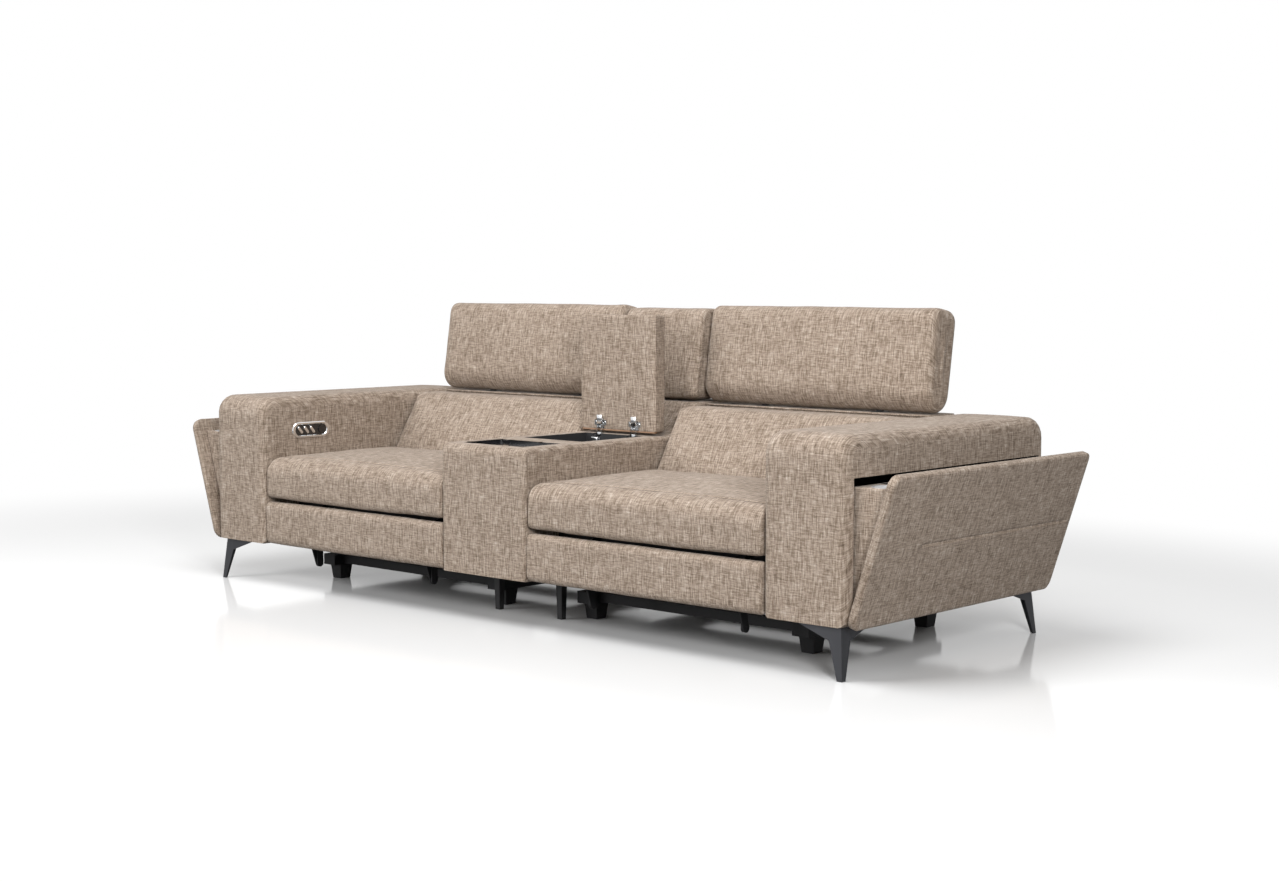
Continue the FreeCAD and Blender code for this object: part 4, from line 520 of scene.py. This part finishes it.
def panel(name, ends, heights, depths, corners, edge, step, place, seams=(), dent=None):
    # A flat padded piece: rows run from one end to the other, and corners are four radii from the
    # low start round to the high start. dent gives how far the outer face is pulled in at a point.
    (a, b), (low, high), (inner, outer) = ends, heights, depths
    rows = steps(low, high, step, edge * 1.2, seams)
    lowStart, lowEnd, highEnd, highStart = corners

    def drawn(z, below, above):
        # how far a row's end stays in because of the corners
        for radius, gap in ((below, z - low), (above, high - z)):
            if gap < radius:
                return radius - math.sqrt(max(radius ** 2 - (radius - gap) ** 2, 0.0))
        return 0.0
    columns = steps(0.0, b - a, step, edge * 1.2)
    bm = bmesh.new()
    layer = bm.loops.layers.uv.new("weave")
    faces = []
    spots = {}
    for i, z in enumerate(rows):
        start = a + drawn(z, lowStart, highStart)
        end = b - drawn(z, lowEnd, highEnd)
        for j, column in enumerate(columns):
            y = start + column * (end - start) / (b - a)
            away = max(min(z - low, high - z, y - start, end - y), 0.0)
            drop = edge - math.sqrt(max(edge ** 2 - (edge - min(away, edge)) ** 2, 0.0))
            pull = dent(y, z) if dent else 0.0
            for k, x in ((0, inner + min(drop * 0.3, 3.0)), (1, outer - drop - pull)):
                spots[i, j, k] = (bm.verts.new(place(Vector((x, y, z))) / 1000), (y / 1000, z / 1000))
    for i in range(len(rows) - 1):
        for j in range(len(columns) - 1):
            for k in (0, 1):
                faces.append([spots[i, j, k], spots[i, j + 1, k], spots[i + 1, j + 1, k], spots[i + 1, j, k]])
    last, wide = len(rows) - 1, len(columns) - 1
    depth = (outer - inner) / 1000
    for j in range(wide):
        for i in (0, last):
            near, far = spots[i, j, 0], spots[i, j + 1, 0]
            faces.append([near, far, (spots[i, j + 1, 1][0], (far[1][0], far[1][1] + depth)),
                          (spots[i, j, 1][0], (near[1][0], near[1][1] + depth))])
    for i in range(last):
        for j in (0, wide):
            near, far = spots[i, j, 0], spots[i + 1, j, 0]
            faces.append([near, far, (spots[i + 1, j, 1][0], (far[1][0] + depth, far[1][1])),
                          (spots[i, j, 1][0], (near[1][0] + depth, near[1][1]))])
    for corner in faces:
        face = bm.faces.new([vert for vert, _ in corner])
        for loop, (_, uv) in zip(face.loops, corner):
            loop[layer].uv = uv
    bmesh.ops.remove_doubles(bm, verts=bm.verts, dist=0.00002)
    return shadeSmooth(built(name, bm, "fabric"), 50)


# How hard and how long a cover is blown out, and how stiff it is
cover = {"frames": 16, "pressure": 4.0, "quality": 5, "mass": 0.4, "stretch": 12, "shear": 6, "bend": 0.6}


def puffed(thing, reach):
    # blows the cover out with cloth and keeps each point within reach of where it was
    start = [vert.co.copy() for vert in thing.data.vertices]
    cloth = thing.modifiers.new("puff", "CLOTH")
    settings = cloth.settings
    settings.quality = cover["quality"]
    settings.mass = cover["mass"]
    settings.tension_stiffness = cover["stretch"]
    settings.compression_stiffness = cover["stretch"]
    settings.shear_stiffness = cover["shear"]
    settings.bending_stiffness = cover["bend"]
    settings.use_pressure = True
    settings.uniform_pressure_force = cover["pressure"]
    settings.effector_weights.gravity = 0.0
    cloth.point_cache.frame_start = 1
    cloth.point_cache.frame_end = cover["frames"]
    for number in range(1, cover["frames"] + 1):
        bpy.context.scene.frame_set(number)
    settle(thing)
    bpy.context.scene.frame_set(1)
    for vert, home in zip(thing.data.vertices, start):
        move = vert.co - home
        if move.length > reach / 1000:
            vert.co = home + move * (reach / 1000 / move.length)


def extent(thing):
    spots = [vert.co for vert in thing.data.vertices]
    return [(min(p[i] for p in spots), max(p[i] for p in spots)) for i in range(3)]


def padded(thing, reach):
    # puffed and smoothed, and then stretched back to the outside sizes it had
    wanted = extent(thing)
    puffed(thing, reach)
    subdivided(thing)
    found = extent(thing)
    for vert in thing.data.vertices:
        for i in range(3):
            (low, high), (goalLow, goalHigh) = found[i], wanted[i]
            vert.co[i] = goalLow + (vert.co[i] - low) * (goalHigh - goalLow) / (high - low)


def rumpled(thing, sizes, side):
    # slow unevenness of a padded surface
    seed = sizes["seed"] + side
    normals = [normal.vector.copy() for normal in thing.data.vertex_normals]
    for vert, normal in zip(thing.data.vertices, normals):
        n = noise.noise(vert.co * sizes["ripples"] + Vector((seed, seed * 0.7, -seed)))
        vert.co += normal * (n * sizes["rumple"] / 1000)


def cushioned(thing, sizes, side=0):
    padded(thing, sizes["puff"])
    rumpled(thing, sizes, side)


def sewn(thing, groove, depth, width):
    # pulls the surface in along a seam; groove gives a point's distance from it in millimetres
    normals = [normal.vector.copy() for normal in thing.data.vertex_normals]
    for vert, normal in zip(thing.data.vertices, normals):
        away = groove(vert.co * 1000)
        if away is not None and away < width * 3:
            vert.co -= normal * (depth / 1000 * math.exp(-(away / width) ** 2))


def finishPiece(thing, body, slot, *nodes, fill=None):
    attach(thing, body)
    if nodes:
        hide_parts(*nodes)
    return thing


# Stitches: one node group lays a small thread at even steps along a path
def stitchGroup():
    group = bpy.data.node_groups.new("stitchRow", "GeometryNodeTree")
    group.interface.new_socket("Geometry", in_out="INPUT", socket_type="NodeSocketGeometry")
    for name in ("Spacing", "Length", "Radius"):
        group.interface.new_socket(name, in_out="INPUT", socket_type="NodeSocketFloat")
    group.interface.new_socket("Material", in_out="INPUT", socket_type="NodeSocketMaterial")
    group.interface.new_socket("Geometry", in_out="OUTPUT", socket_type="NodeSocketGeometry")

    def add(kind, links, **settings):
        made = group.nodes.new(kind)
        for name, value in settings.items():
            setattr(made, name, value)
        for socket, source in links.items():
            group.links.new(source, made.inputs[socket])
        return made
    given = add("NodeGroupInput", {})
    path = add("GeometryNodeMeshToCurve", {0: given.outputs["Geometry"]})
    even = add("GeometryNodeResampleCurve", {"Curve": path.outputs[0], "Length": given.outputs["Spacing"]},
               mode="LENGTH")
    thread = add("GeometryNodeMeshCylinder", {"Radius": given.outputs["Radius"],
                                              "Depth": given.outputs["Length"]})
    thread.inputs["Vertices"].default_value = 6
    tangent = add("GeometryNodeInputTangent", {})
    turned = add("FunctionNodeAlignRotationToVector", {"Vector": tangent.outputs[0]}, axis="Z")
    laid = add("GeometryNodeInstanceOnPoints", {"Points": even.outputs[0], "Instance": thread.outputs[0],
                                                "Rotation": turned.outputs[0]})
    real = add("GeometryNodeRealizeInstances", {0: laid.outputs[0]})
    finished = add("GeometryNodeSetMaterial", {"Geometry": real.outputs[0],
                                               "Material": given.outputs["Material"]})
    out = group.nodes.new("NodeGroupOutput")
    group.links.new(finished.outputs[0], out.inputs[0])
    return group


stitches = stitchGroup()
# Threads of a stitched row, and the longer dark ones that overlap and draw a seam's dark line, which is
# painted shade in the seam's groove
stitchSizes = {"Spacing": 0.0062, "Length": 0.0044, "Radius": 0.0006}
seamShadeSizes = {"Spacing": 0.0080, "Length": 0.0086, "Radius": 0.0011}


def stitchRow(name, surface, starts, direction, body, finish="thread", sizes=stitchSizes):
    # Threads laid on a piece along the points where rays from starts meet it
    mesh = surface.data
    tree = BVHTree.FromPolygons([vert.co for vert in mesh.vertices],
                                [face.vertices for face in mesh.polygons])
    path = []
    for start in starts:
        spot, normal, _, _ = tree.ray_cast(start / 1000, direction)
        if spot is not None:
            path.append(spot + normal * 0.0002)
    mesh = bpy.data.meshes.new(name)
    mesh.from_pydata(path, [(i, i + 1) for i in range(len(path) - 1)], [])
    thing = addObject(name, mesh)
    row = thing.modifiers.new("stitches", "NODES")
    row.node_group = stitches
    given = dict(sizes, Material=finishes[finish])
    for socket in stitches.interface.items_tree:
        if socket.item_type == "SOCKET" and socket.in_out == "INPUT" and socket.name in given:
            row[socket.identifier] = given[socket.name]
    settle(thing)
    boxWeave(thing.data)
    return finishPiece(thing, body, None)


# Arms: a padded frame with a switch panel inside and a hollow outside for the tilting bin
arm = {"inner": 1115, "outer": 1400, "top": 664, "corner": 62, "edge": 34, "wall": 30, "post": 39,
       "sill": 18, "beamUnder": 547, "crown": 5, "switchBack": 208, "switchUp": 540,
       "switchHalf": 69, "switchRadius": 18.5, "switchSink": 12}


def makeArm(label, side):
    def profile(crown):
        top = arm["top"] - arm["crown"] * (1 - crown)
        return [(sofa["front"], sofa["underside"], 4), (sofa["rear"], sofa["underside"], 4),
                (sofa["rear"], top, arm["corner"]), (sofa["front"], top, arm["corner"])]
    low, high = across(side, arm["inner"], arm["outer"])
    thing = bolster(label + "Arm", profile, low, high, arm["edge"], drawn=0.0, step=20.0, capRings=8,
                    materials=("fabric", "dark_liner"))
    for vert in thing.data.vertices:
        # the underside is flat out to the sides
        if vert.co.z * 1000 < sofa["underside"] + arm["edge"]:
            vert.co.z = max(vert.co.z, sofa["underside"] / 1000)
    # the hollow's cut faces are black: the liner's own colour where the liner lies, and painted shade on the
    # beam's fabric underside at the outer edge
    low, high = across(side, arm["inner"] + arm["wall"], arm["outer"] + 30)
    hollow = block("armHollow", (low, sofa["front"] + arm["post"], sofa["underside"] + arm["sill"]),
                   (high, sofa["rear"] - arm["post"], arm["beamUnder"]), "fabric", "dark_liner", bevel=3)
    low, high = across(side, arm["inner"] - 10, arm["inner"] + arm["switchSink"])
    middle, up, radius = sofa["front"] + arm["switchBack"], arm["switchUp"], arm["switchRadius"]
    reach = arm["switchHalf"] - radius
    outline = arc(middle + reach, up, radius, -90, 180, 8, 9) + arc(middle - reach, up, radius, 90, 180, 8, 9)
    mouth = prism("switchMouth", outline, low, high, "x", "fabric", "dark_liner")
    cutAway(thing, lined(hollow), lined(mouth))
    shadeSmooth(thing, 40)
    finishPiece(thing, "base", "fabric", label + "_arm", fill=0.8)


# Seat cushions
seat = {"base": 302, "edgeTop": 455, "crown": 22, "round": 58, "topEnd": 590, "rearLift": 8, "lowEnd": 540,
        "rearRise": 78, "peak": 0.52, "bow": 1100, "side": 12, "puff": 6.0, "rumple": 1.6, "ripples": 9.0,
        "seed": 3.1, "seam": 67, "seamLow": 392, "seamRear": -350, "seamDepth": 4, "seamWidth": 5,
        "stitchOff": 6, "stitchEnd": 30, "stitchAbove": 560, "stitches": 60}


def seatProfile(crown):
    front, lowEnd, topEnd = (sofa["front"] + along for along in (2, seat["lowEnd"], seat["topEnd"]))
    middle = sofa["front"] + seat["topEnd"] * seat["peak"]
    return [(front, seat["base"], 11), (lowEnd, seat["base"], 14),
            (lowEnd, seat["base"] + seat["rearRise"], 30), (topEnd, seat["edgeTop"] + seat["rearLift"], 18),
            (middle, seat["edgeTop"] + seat["crown"] * crown, seat["bow"]),
            (front, seat["edgeTop"], seat["round"])]


def makeSeat(label, side):
    low, high = seatEnds(side, sofa["cushionGap"])
    thing = bolster(label + "SeatCushion", seatProfile, low, high, seat["side"])
    cushioned(thing, seat, side)
    seam = sofa["front"] + seat["seam"]

    def seamLine(p):
        return None if p.z < seat["seamLow"] or p.y > seat["seamRear"] else abs(p.y - seam)
    sewn(thing, seamLine, seat["seamDepth"], seat["seamWidth"])
    finishPiece(thing, "base", "fabric", label + "_seat_cushion", fill=0.8)
    first, last, count = low + seat["stitchEnd"], high - seat["stitchEnd"], seat["stitches"]
    line = [Vector((first + (last - first) * i / count, seam, seat["stitchAbove"])) for i in range(count + 1)]
    down = Vector((0, 0, -1))
    behind = [start + Vector((0, seat["stitchOff"], 0)) for start in line]
    stitchRow(label + "SeatStitches", thing, behind, down, "base")
    # painted shade: overlapping dark threads along the seam's groove
    stitchRow(label + "SeatSeam", thing, line, down, "base", "seamLine", seamShadeSizes)


# Back cushions
back = {"footY": 574, "footZ": 424, "topY": 706, "top": 657, "swell": 12, "round": 34, "rearTop": 850,
        "rearLowY": 702, "rearLowZ": 400, "bow": 700, "side": 14, "puff": 5.0, "rumple": 1.6, "ripples": 9.0,
        "seed": 5.3}


def backProfile(crown):
    y = sofa["front"]
    swell = back["swell"] * crown
    foot, top = (y + back["footY"], back["footZ"]), (y + back["topY"], back["top"])
    middle = ((foot[0] + top[0]) / 2 - swell * 0.87, (foot[1] + top[1]) / 2 + swell * 0.5)
    return [(y + back["rearTop"], back["top"], 12), (*top, back["round"]), (*middle, back["bow"]),
            (*foot, 22), (y + back["rearLowY"], back["rearLowZ"], 12)]


def makeBack(label, side):
    low, high = seatEnds(side, sofa["cushionGap"])
    thing = bolster(label + "BackCushion", backProfile, low, high, back["side"])
    cushioned(thing, back, side)
    finishPiece(thing, label + "_back", "fabric", label + "_back_cushion", fill=0.75)


# Headrests
head = {"pivotY": 890, "pivotZ": 729, "radius": 66, "lean": 9.2, "rise": 258, "round": 40, "swell": 8,
        "peak": 0.42, "bow": 700, "side": 24, "puff": 5.0, "rumple": 1.8, "ripples": 8.0, "seed": 7.7}


def headProfile(crown):
    swell = head["swell"] * crown
    r = head["radius"]
    return [(r, head["rise"], head["round"]), (-r, head["rise"], head["round"]),
            (-r - swell, head["rise"] * head["peak"], head["bow"]), (-r, -r, r * 0.985), (r, -r, r * 0.985)]


def makeHeadrest(label, side):
    low, high = seatEnds(side, sofa["cushionGap"])
    lean = math.radians(head["lean"])
    pivot = Vector((0, sofa["front"] + head["pivotY"], head["pivotZ"]))

    def leaning(p):
        return Vector((p.x, pivot.y + p.y * math.cos(lean) + p.z * math.sin(lean),
                       pivot.z - p.y * math.sin(lean) + p.z * math.cos(lean)))
    thing = bolster(label + "Headrest", headProfile, low, high, head["side"], place=leaning)
    cushioned(thing, head, side)
    finishPiece(thing, label + "_head", "fabric", label + "_headrest", fill=0.85)


# A black sheet of painted shade under the deck's front edge, and the padded top of the back's frame
closing = {"shadeSheet": 152, "shadeSheetThick": 2, "shadeSheetLow": 232, "shadeSheetTop": 284, "capFront": 842, "capRear": 983,
           "capLow": 654, "capTop": 659.6, "inner": 207, "outer": 1098}


def makeClosers(label, side):
    low, high = across(side, closing["inner"], closing["outer"])
    front = sofa["front"]
    # painted shade: a black sheet under the seat deck that closes off the view into the shaded underside
    shadeSheet = block(label + "Apron", (low, front + closing["shadeSheet"], closing["shadeSheetLow"]),
                  (high, front + closing["shadeSheet"] + closing["shadeSheetThick"], closing["shadeSheetTop"]), "dark_liner")
    finishPiece(shadeSheet, "base", "dark_liner")
    cap = block(label + "BackCap", (low, front + closing["capFront"], closing["capLow"]),
                (high, front + closing["capRear"], closing["capTop"]), "fabric", bevel=2.5)
    finishPiece(shadeSmooth(cap, 40), label + "_back", "fabric")


# Centre back pillow
pillow = {"front": 808, "rear": 985, "low": 666, "top": 978, "lean": 9.2, "swell": 8, "round": 34,
          "bow": 700, "half": 185, "side": 16, "puff": 4.0, "rumple": 1.5, "ripples": 9.0, "seed": 2.2}


def pillowProfile(crown):
    lean = math.tan(math.radians(pillow["lean"]))
    low, high = pillow["low"], pillow["top"]
    face, rear = sofa["front"] + pillow["front"], sofa["front"] + pillow["rear"]
    middle = (low + high) / 2
    bowed = face + (middle - low) * lean - pillow["swell"] * crown
    return [(rear, low, 12), (rear, high, pillow["round"]),
            (face + (high - low) * lean, high, pillow["round"]), (bowed, middle, pillow["bow"]),
            (face, low, 14)]


def makePillow():
    half = pillow["half"]
    thing = bolster("centrePillow", pillowProfile, -half, half, pillow["side"], step=15.0)
    cushioned(thing, pillow)
    finishPiece(thing, "base", "fabric", "centre_back_pillow", fill=0.85)


# Console: upholstered box with a sunk black plate, a compartment and a sweep up to the shelf
console = {"half": 189, "edge": 14, "rear": 490, "sweepEnd": 296, "sweepKnee": 250, "sweepRadius": 168,
           "frontRound": 22, "plate": (-135, 135, -464.3, -294.7), "plateDeep": 14,
           "bin": (-132, 132, -197, 97), "binDeep": 250, "notchHalf": 18, "notchBack": 120, "notchDeep": 10.5,
           "hingePlace": 78}


def makeConsole():
    def profile(crown):
        return [(sofa["front"], sofa["underside"], 4), (console["rear"], sofa["underside"], 4),
                (console["rear"], sofa["shelf"], 6), (console["sweepEnd"], sofa["shelf"], 10),
                (console["sweepKnee"], sofa["consoleTop"], console["sweepRadius"]),
                (sofa["front"], sofa["consoleTop"], console["frontRound"])]
    half = console["half"]
    thing = bolster("consoleBox", profile, -half, half, console["edge"], drawn=0.0, step=18.0, capRings=6,
                    materials=("fabric", "dark_liner"))
    holes = [("plateCut", console["plate"], console["plateDeep"]),
             ("binCut", console["bin"], console["binDeep"])]
    for _, side in sides:
        middle = side * console["hingePlace"]
        notch = (middle - console["notchHalf"], middle + console["notchHalf"], console["bin"][3] - 3,
                 console["notchBack"])
        holes.append(("notchCut", notch, console["notchDeep"]))
    top = sofa["consoleTop"]
    cutters = [lined(block(name, (x0, y0, top - deep), (x1, y1, top + 40), "fabric", "dark_liner"))
               for name, (x0, x1, y0, y1), deep in holes]
    cutAway(thing, *cutters)
    shadeSmooth(thing, 40)
    finishPiece(thing, "base", "fabric", "console_box", fill=0.9)


# Console lid, standing open
lid = {"half": 170, "low": 571, "high": 957, "face": 114, "thick": 55, "corner": 10, "edge": 14,
       "boardHalf": 164, "boardFront": 116, "boardRear": 130, "boardLow": 567.5, "boardTop": 572,
       "cupPlace": 78, "cupUp": 594, "cupRadius": 17.8, "cupSink": 11.8}


def makeLid():
    half, face = lid["half"], lid["face"]
    thing = panel("consoleLid", (-half, half), (lid["low"], lid["high"]), (face, face + lid["thick"]),
                  (lid["corner"],) * 4, lid["edge"], 14.0, lambda p: Vector((p.y, p.x, p.z)))
    cups = []
    for _, side in sides:
        bore = circle(side * lid["cupPlace"], lid["cupUp"], lid["cupRadius"], 32)
        cups.append(prism("cupBore", bore, face - 5, face + lid["cupSink"], "y", "fabric"))
    cutAway(thing, *cups)
    finishPiece(shadeSmooth(thing, 50), "lid", "fabric", "console_lid", fill=0.8)
    board = block("lidBoard", (-lid["boardHalf"], lid["boardFront"], lid["boardLow"]),
                  (lid["boardHalf"], lid["boardRear"], lid["boardTop"]), "wood", bevel=0.8)
    finishPiece(board, "lid", None)


# Bright covers on the lid hinges, with their screws, and the hinge bases in the compartment
hinge = {"half": 12, "low": 588, "high": 620, "front": 105, "rear": 113, "screw": 21, "screwRadius": 4,
         "screwFront": 111.1, "screwRear": 113, "baseHalf": 15, "baseLow": 503, "baseHigh": 546,
         "baseFront": 80, "baseRear": 91}


def makeHingeCovers():
    for label, side in sides:
        middle = side * lid["cupPlace"]
        cover = block(label + "HingeCover", (middle - hinge["half"], hinge["front"], hinge["low"]),
                      (middle + hinge["half"], hinge["rear"], hinge["high"]), "chrome", bevel=2.5)
        finishPiece(shadeSmooth(cover, 40), "lid", "chrome")
        for end in (-1, 1):
            disc = circle(middle + end * hinge["screw"], lid["cupUp"], hinge["screwRadius"], 16)
            screw = prism(f"{label}HingeScrew{end + 1}", disc, hinge["screwFront"], hinge["screwRear"], "y",
                          "chrome", bevel=0.5)
            finishPiece(screw, "lid", "chrome")
        base = block(label + "HingeBase", (middle - hinge["baseHalf"], hinge["baseFront"], hinge["baseLow"]),
                     (middle + hinge["baseHalf"], hinge["baseRear"], hinge["baseHigh"]), "chrome", bevel=2.5)
        finishPiece(shadeSmooth(base, 40), "base", "chrome")


# Side flaps: drawn shut from the hinge axis and swung open
flap = {"open": 18, "axisOut": 1407, "axisUp": 151, "face": -5.5, "thick": 24, "end": 506, "low": -8,
        "high": 436, "corner": 34, "frontCorner": 20.4, "edge": 9, "seamUp": 222, "seamFront": -281,
        "seamRear": 476, "seamDepth": 4.2, "seamWidth": 3.2, "wave": 1.3, "sink": 0.8, "stitchOff": 5,
        "stitches": 90}


def swung(side):
    turn = Matrix.Rotation(math.radians(side * flap["open"]), 4, "Y")
    shift = Matrix.Translation(Vector((side * flap["axisOut"], 0, flap["axisUp"])))
    return shift @ turn


def makeFlap(label, side):
    matrix = swung(side)

    def dent(y, z):
        # the sewn line at half height and the small puckers along it
        if y < flap["seamFront"] or y > flap["seamRear"]:
            return 0.0
        away = abs(z - flap["seamUp"])
        pucker = 0.75 + 0.5 * noise.noise(Vector((y / 22.0, 0.0, 3.0 + side)))
        wave = flap["wave"] * noise.noise(Vector((y / 26.0, 5.0, side))) * math.exp(-(away / 20.0) ** 2)
        groove = flap["seamDepth"] * pucker * math.exp(-(away / flap["seamWidth"]) ** 2)
        return groove + wave + flap["sink"] * math.exp(-(away / 22.0) ** 2)
    corner = flap["corner"]
    thing = panel(label + "Flap", (-flap["end"], flap["end"]), (flap["low"], flap["high"]),
                  (flap["face"], flap["face"] + flap["thick"]), (corner, corner, flap["frontCorner"], corner),
                  flap["edge"], 9.0, lambda p: matrix @ Vector((side * p.x, p.y, p.z)), (flap["seamUp"],),
                  dent)
    finishPiece(thing, label + "_flap", "fabric", label + "_flap_panel", fill=0.9)
    count, first, last = flap["stitches"], flap["seamFront"], flap["seamRear"]
    up = flap["seamUp"] - flap["stitchOff"]
    starts = [matrix @ Vector((side * 60, first + (last - first) * i / count, up)) for i in range(count + 1)]
    inward = matrix.to_3x3() @ Vector((-side, 0, 0))
    stitchRow(label + "FlapStitches", thing, starts, inward, label + "_flap")


# Flap bins: fabric outside and black inside, with a bore for the cup holder
# outline is the bin seen from the front and pocket what is taken out of it, out from the middle and up
flapBin = {"front": -464, "rear": 464, "edge": 5, "pocketFront": -352, "pocketRear": 452,
           "outline": ((1388, 179.8), (1408.9, 175.6), (1522.0, 523.7), (1388, 523.7)),
           "pocket": ((1400, 201.8), (1412.9, 201.6), (1525.6, 553.7), (1400, 553.7)),
           "cupOut": 1465.6, "cupAlong": -412, "cupRadius": 37.8, "cupLow": 471.5, "cupTop": 543.7}


def makeFlapBin(label, side):
    b = flapBin
    outline, inside = ([(side * out, up) for out, up in b[name]] for name in ("outline", "pocket"))
    black = ("fabric", "dark_liner")
    thing = prism(label + "FlapBin", outline, b["front"], b["rear"], "y", *black, bevel=b["edge"])
    pocket = prism("binPocket", inside, b["pocketFront"], b["pocketRear"], "y", *black)
    well = circle(side * b["cupOut"], b["cupAlong"], b["cupRadius"], 48)
    bore = prism("cupWell", well, b["cupLow"], b["cupTop"], "z", *black)
    cutAway(thing, lined(pocket), lined(bore))
    finishPiece(shadeSmooth(thing, 35), label + "_flap", "fabric", label + "_flap_bin", fill=0.95)


# Footrest panels
footrest = {"front": -510, "rear": -465, "low": 147, "top": 299, "round": 16, "edge": 9, "rumple": 1.0,
            "ripples": 10.0, "seed": 4.4}


def makeFootrest(label, side):
    low, high = seatEnds(side, sofa["panelGap"])

    def profile(crown):
        corners = (("front", "low"), ("rear", "low"), ("rear", "top"), ("front", "top"))
        return [(footrest[y], footrest[z], footrest["round"]) for y, z in corners]
    thing = bolster(label + "Footrest", profile, low, high, footrest["edge"], drawn=1.0, step=16.0)
    subdivided(thing)
    rumpled(thing, footrest, side)
    finishPiece(thing, label + "_footrest", "fabric", label + "_footrest_panel", fill=0.85)


for label, side in sides:
    makeArm(label, side)
    makeFlap(label, side)
    makeFlapBin(label, side)
    makeSeat(label, side)
    makeBack(label, side)
    makeHeadrest(label, side)
    makeFootrest(label, side)
    makeClosers(label, side)
    print(label, "side upholstered")
makePillow()
makeConsole()
makeLid()
makeHingeCovers()
print("console and pillow upholstered")

# CAD nodes that stay get the finish of their slot
slotOf = {part["node"]: part["material_slot"] for part in frame["record"]["subparts"]}
for name, thing in frame["nodes"].items():
    finish = slotOf.get(name, "black_steel")
    if finish == "fabric":
        finish = "backing"
    for slot in thing.material_slots:
        slot.link = "DATA"
        slot.material = finishes[finish]
print("CAD nodes finished")

# Floor, light and camera
studio = {"size": 30.0, "under": -0.0006, "floor": 0.80, "gloss": 0.10, "sheen": 1.20, "bounce": 0.26,
          "world": 0.36, "narrow": 0.55, "near": 1.9, "far": 3.4}


def makeStudio():
    # The floor turns into plain white with distance, and lights the sofa less than it looks
    white = (1.0, 1.0, 1.0)
    mesh = bpy.data.meshes.new("floor")
    size, under = studio["size"], studio["under"]
    mesh.from_pydata([(-size, -size, under), (size, -size, under), (size, size, under), (-size, size, under)],
                     [], [(0, 1, 2, 3)])
    floor = bpy.data.objects.new("floor", mesh)
    bpy.context.scene.collection.objects.link(floor)
    paint = Paint("studioFloor")
    diffuse = paint.node("ShaderNodeBsdfDiffuse", {}, {"Color": (studio["floor"],) * 3})
    gloss = paint.node("ShaderNodeBsdfGlossy", {}, {"Color": white, "Roughness": studio["gloss"]})
    edge = paint.node("ShaderNodeFresnel", {}, {"IOR": studio["sheen"]})
    glow = paint.node("ShaderNodeEmission", {}, {"Color": white, "Strength": 1.0})
    x, y, _ = paint.parts(paint.place())
    distance = (x * x * studio["narrow"] + y * y) ** 0.5
    far = paint.ramp(distance, studio["near"], studio["far"])
    lit = paint.blend(far, paint.blend(edge, diffuse, gloss), glow)
    dark = paint.node("ShaderNodeBsdfDiffuse", {}, {"Color": (studio["bounce"],) * 3})
    seen = paint.node("ShaderNodeLightPath", output="Is Camera Ray")
    mesh.materials.append(paint.finish(paint.blend(seen, dark, lit)))

    # The world is white where it is looked at, and dimmer as a light
    world = bpy.data.worlds.new("studio")
    bpy.context.scene.world = world
    sky = Paint("studio", world)
    mirrored = sky.node("ShaderNodeLightPath", output="Is Glossy Ray")
    direct = sky.node("ShaderNodeLightPath", output="Is Camera Ray").sum("MAXIMUM", mirrored)
    dim, bright = (sky.node("ShaderNodeBackground", {}, {"Color": white, "Strength": strength})
                   for strength in (studio["world"], 1.0))
    sky.finish(sky.blend(direct, dim, bright))


def makeLamp(name, spot, goal, size, power):
    lamp = bpy.data.lights.new(name, "AREA")
    lamp.shape = "DISK"
    lamp.size = size
    lamp.energy = power
    thing = bpy.data.objects.new(name, lamp)
    thing.location = spot
    thing.rotation_euler = (Vector(goal) - Vector(spot)).to_track_quat("-Z", "Y").to_euler()
    bpy.context.scene.collection.objects.link(thing)


camera = {"spot": (4.4285, -4.6561, 1.0673), "yaw": 42.225, "pitch": 4.681, "lens": 54.69, "sensor": 36.0}


def makeCamera():
    data = bpy.data.cameras.new("camera")
    data.lens = camera["lens"]
    data.sensor_width = camera["sensor"]
    data.sensor_fit = "HORIZONTAL"
    data.clip_end = 100.0
    thing = bpy.data.objects.new("camera", data)
    thing.location = camera["spot"]
    thing.rotation_euler = (math.radians(90 - camera["pitch"]), 0.0, math.radians(camera["yaw"]))
    bpy.context.scene.collection.objects.link(thing)
    bpy.context.scene.camera = thing


makeStudio()
makeLamp("keyLamp", (4.9, -3.6, 2.3), (-0.3, 0.0, 0.5), 1.4, 225.0)
makeLamp("topLamp", (0.2, -1.6, 4.6), (0.0, 0.0, 0.4), 3.4, 190.0)
makeLamp("leftLamp", (-2.6, -4.9, 2.2), (-0.6, 0.0, 0.4), 2.6, 150.0)
makeCamera()
bpy.context.scene.view_settings.view_transform = "Standard"
print("studio ready")

bpy.context.view_layer.update()
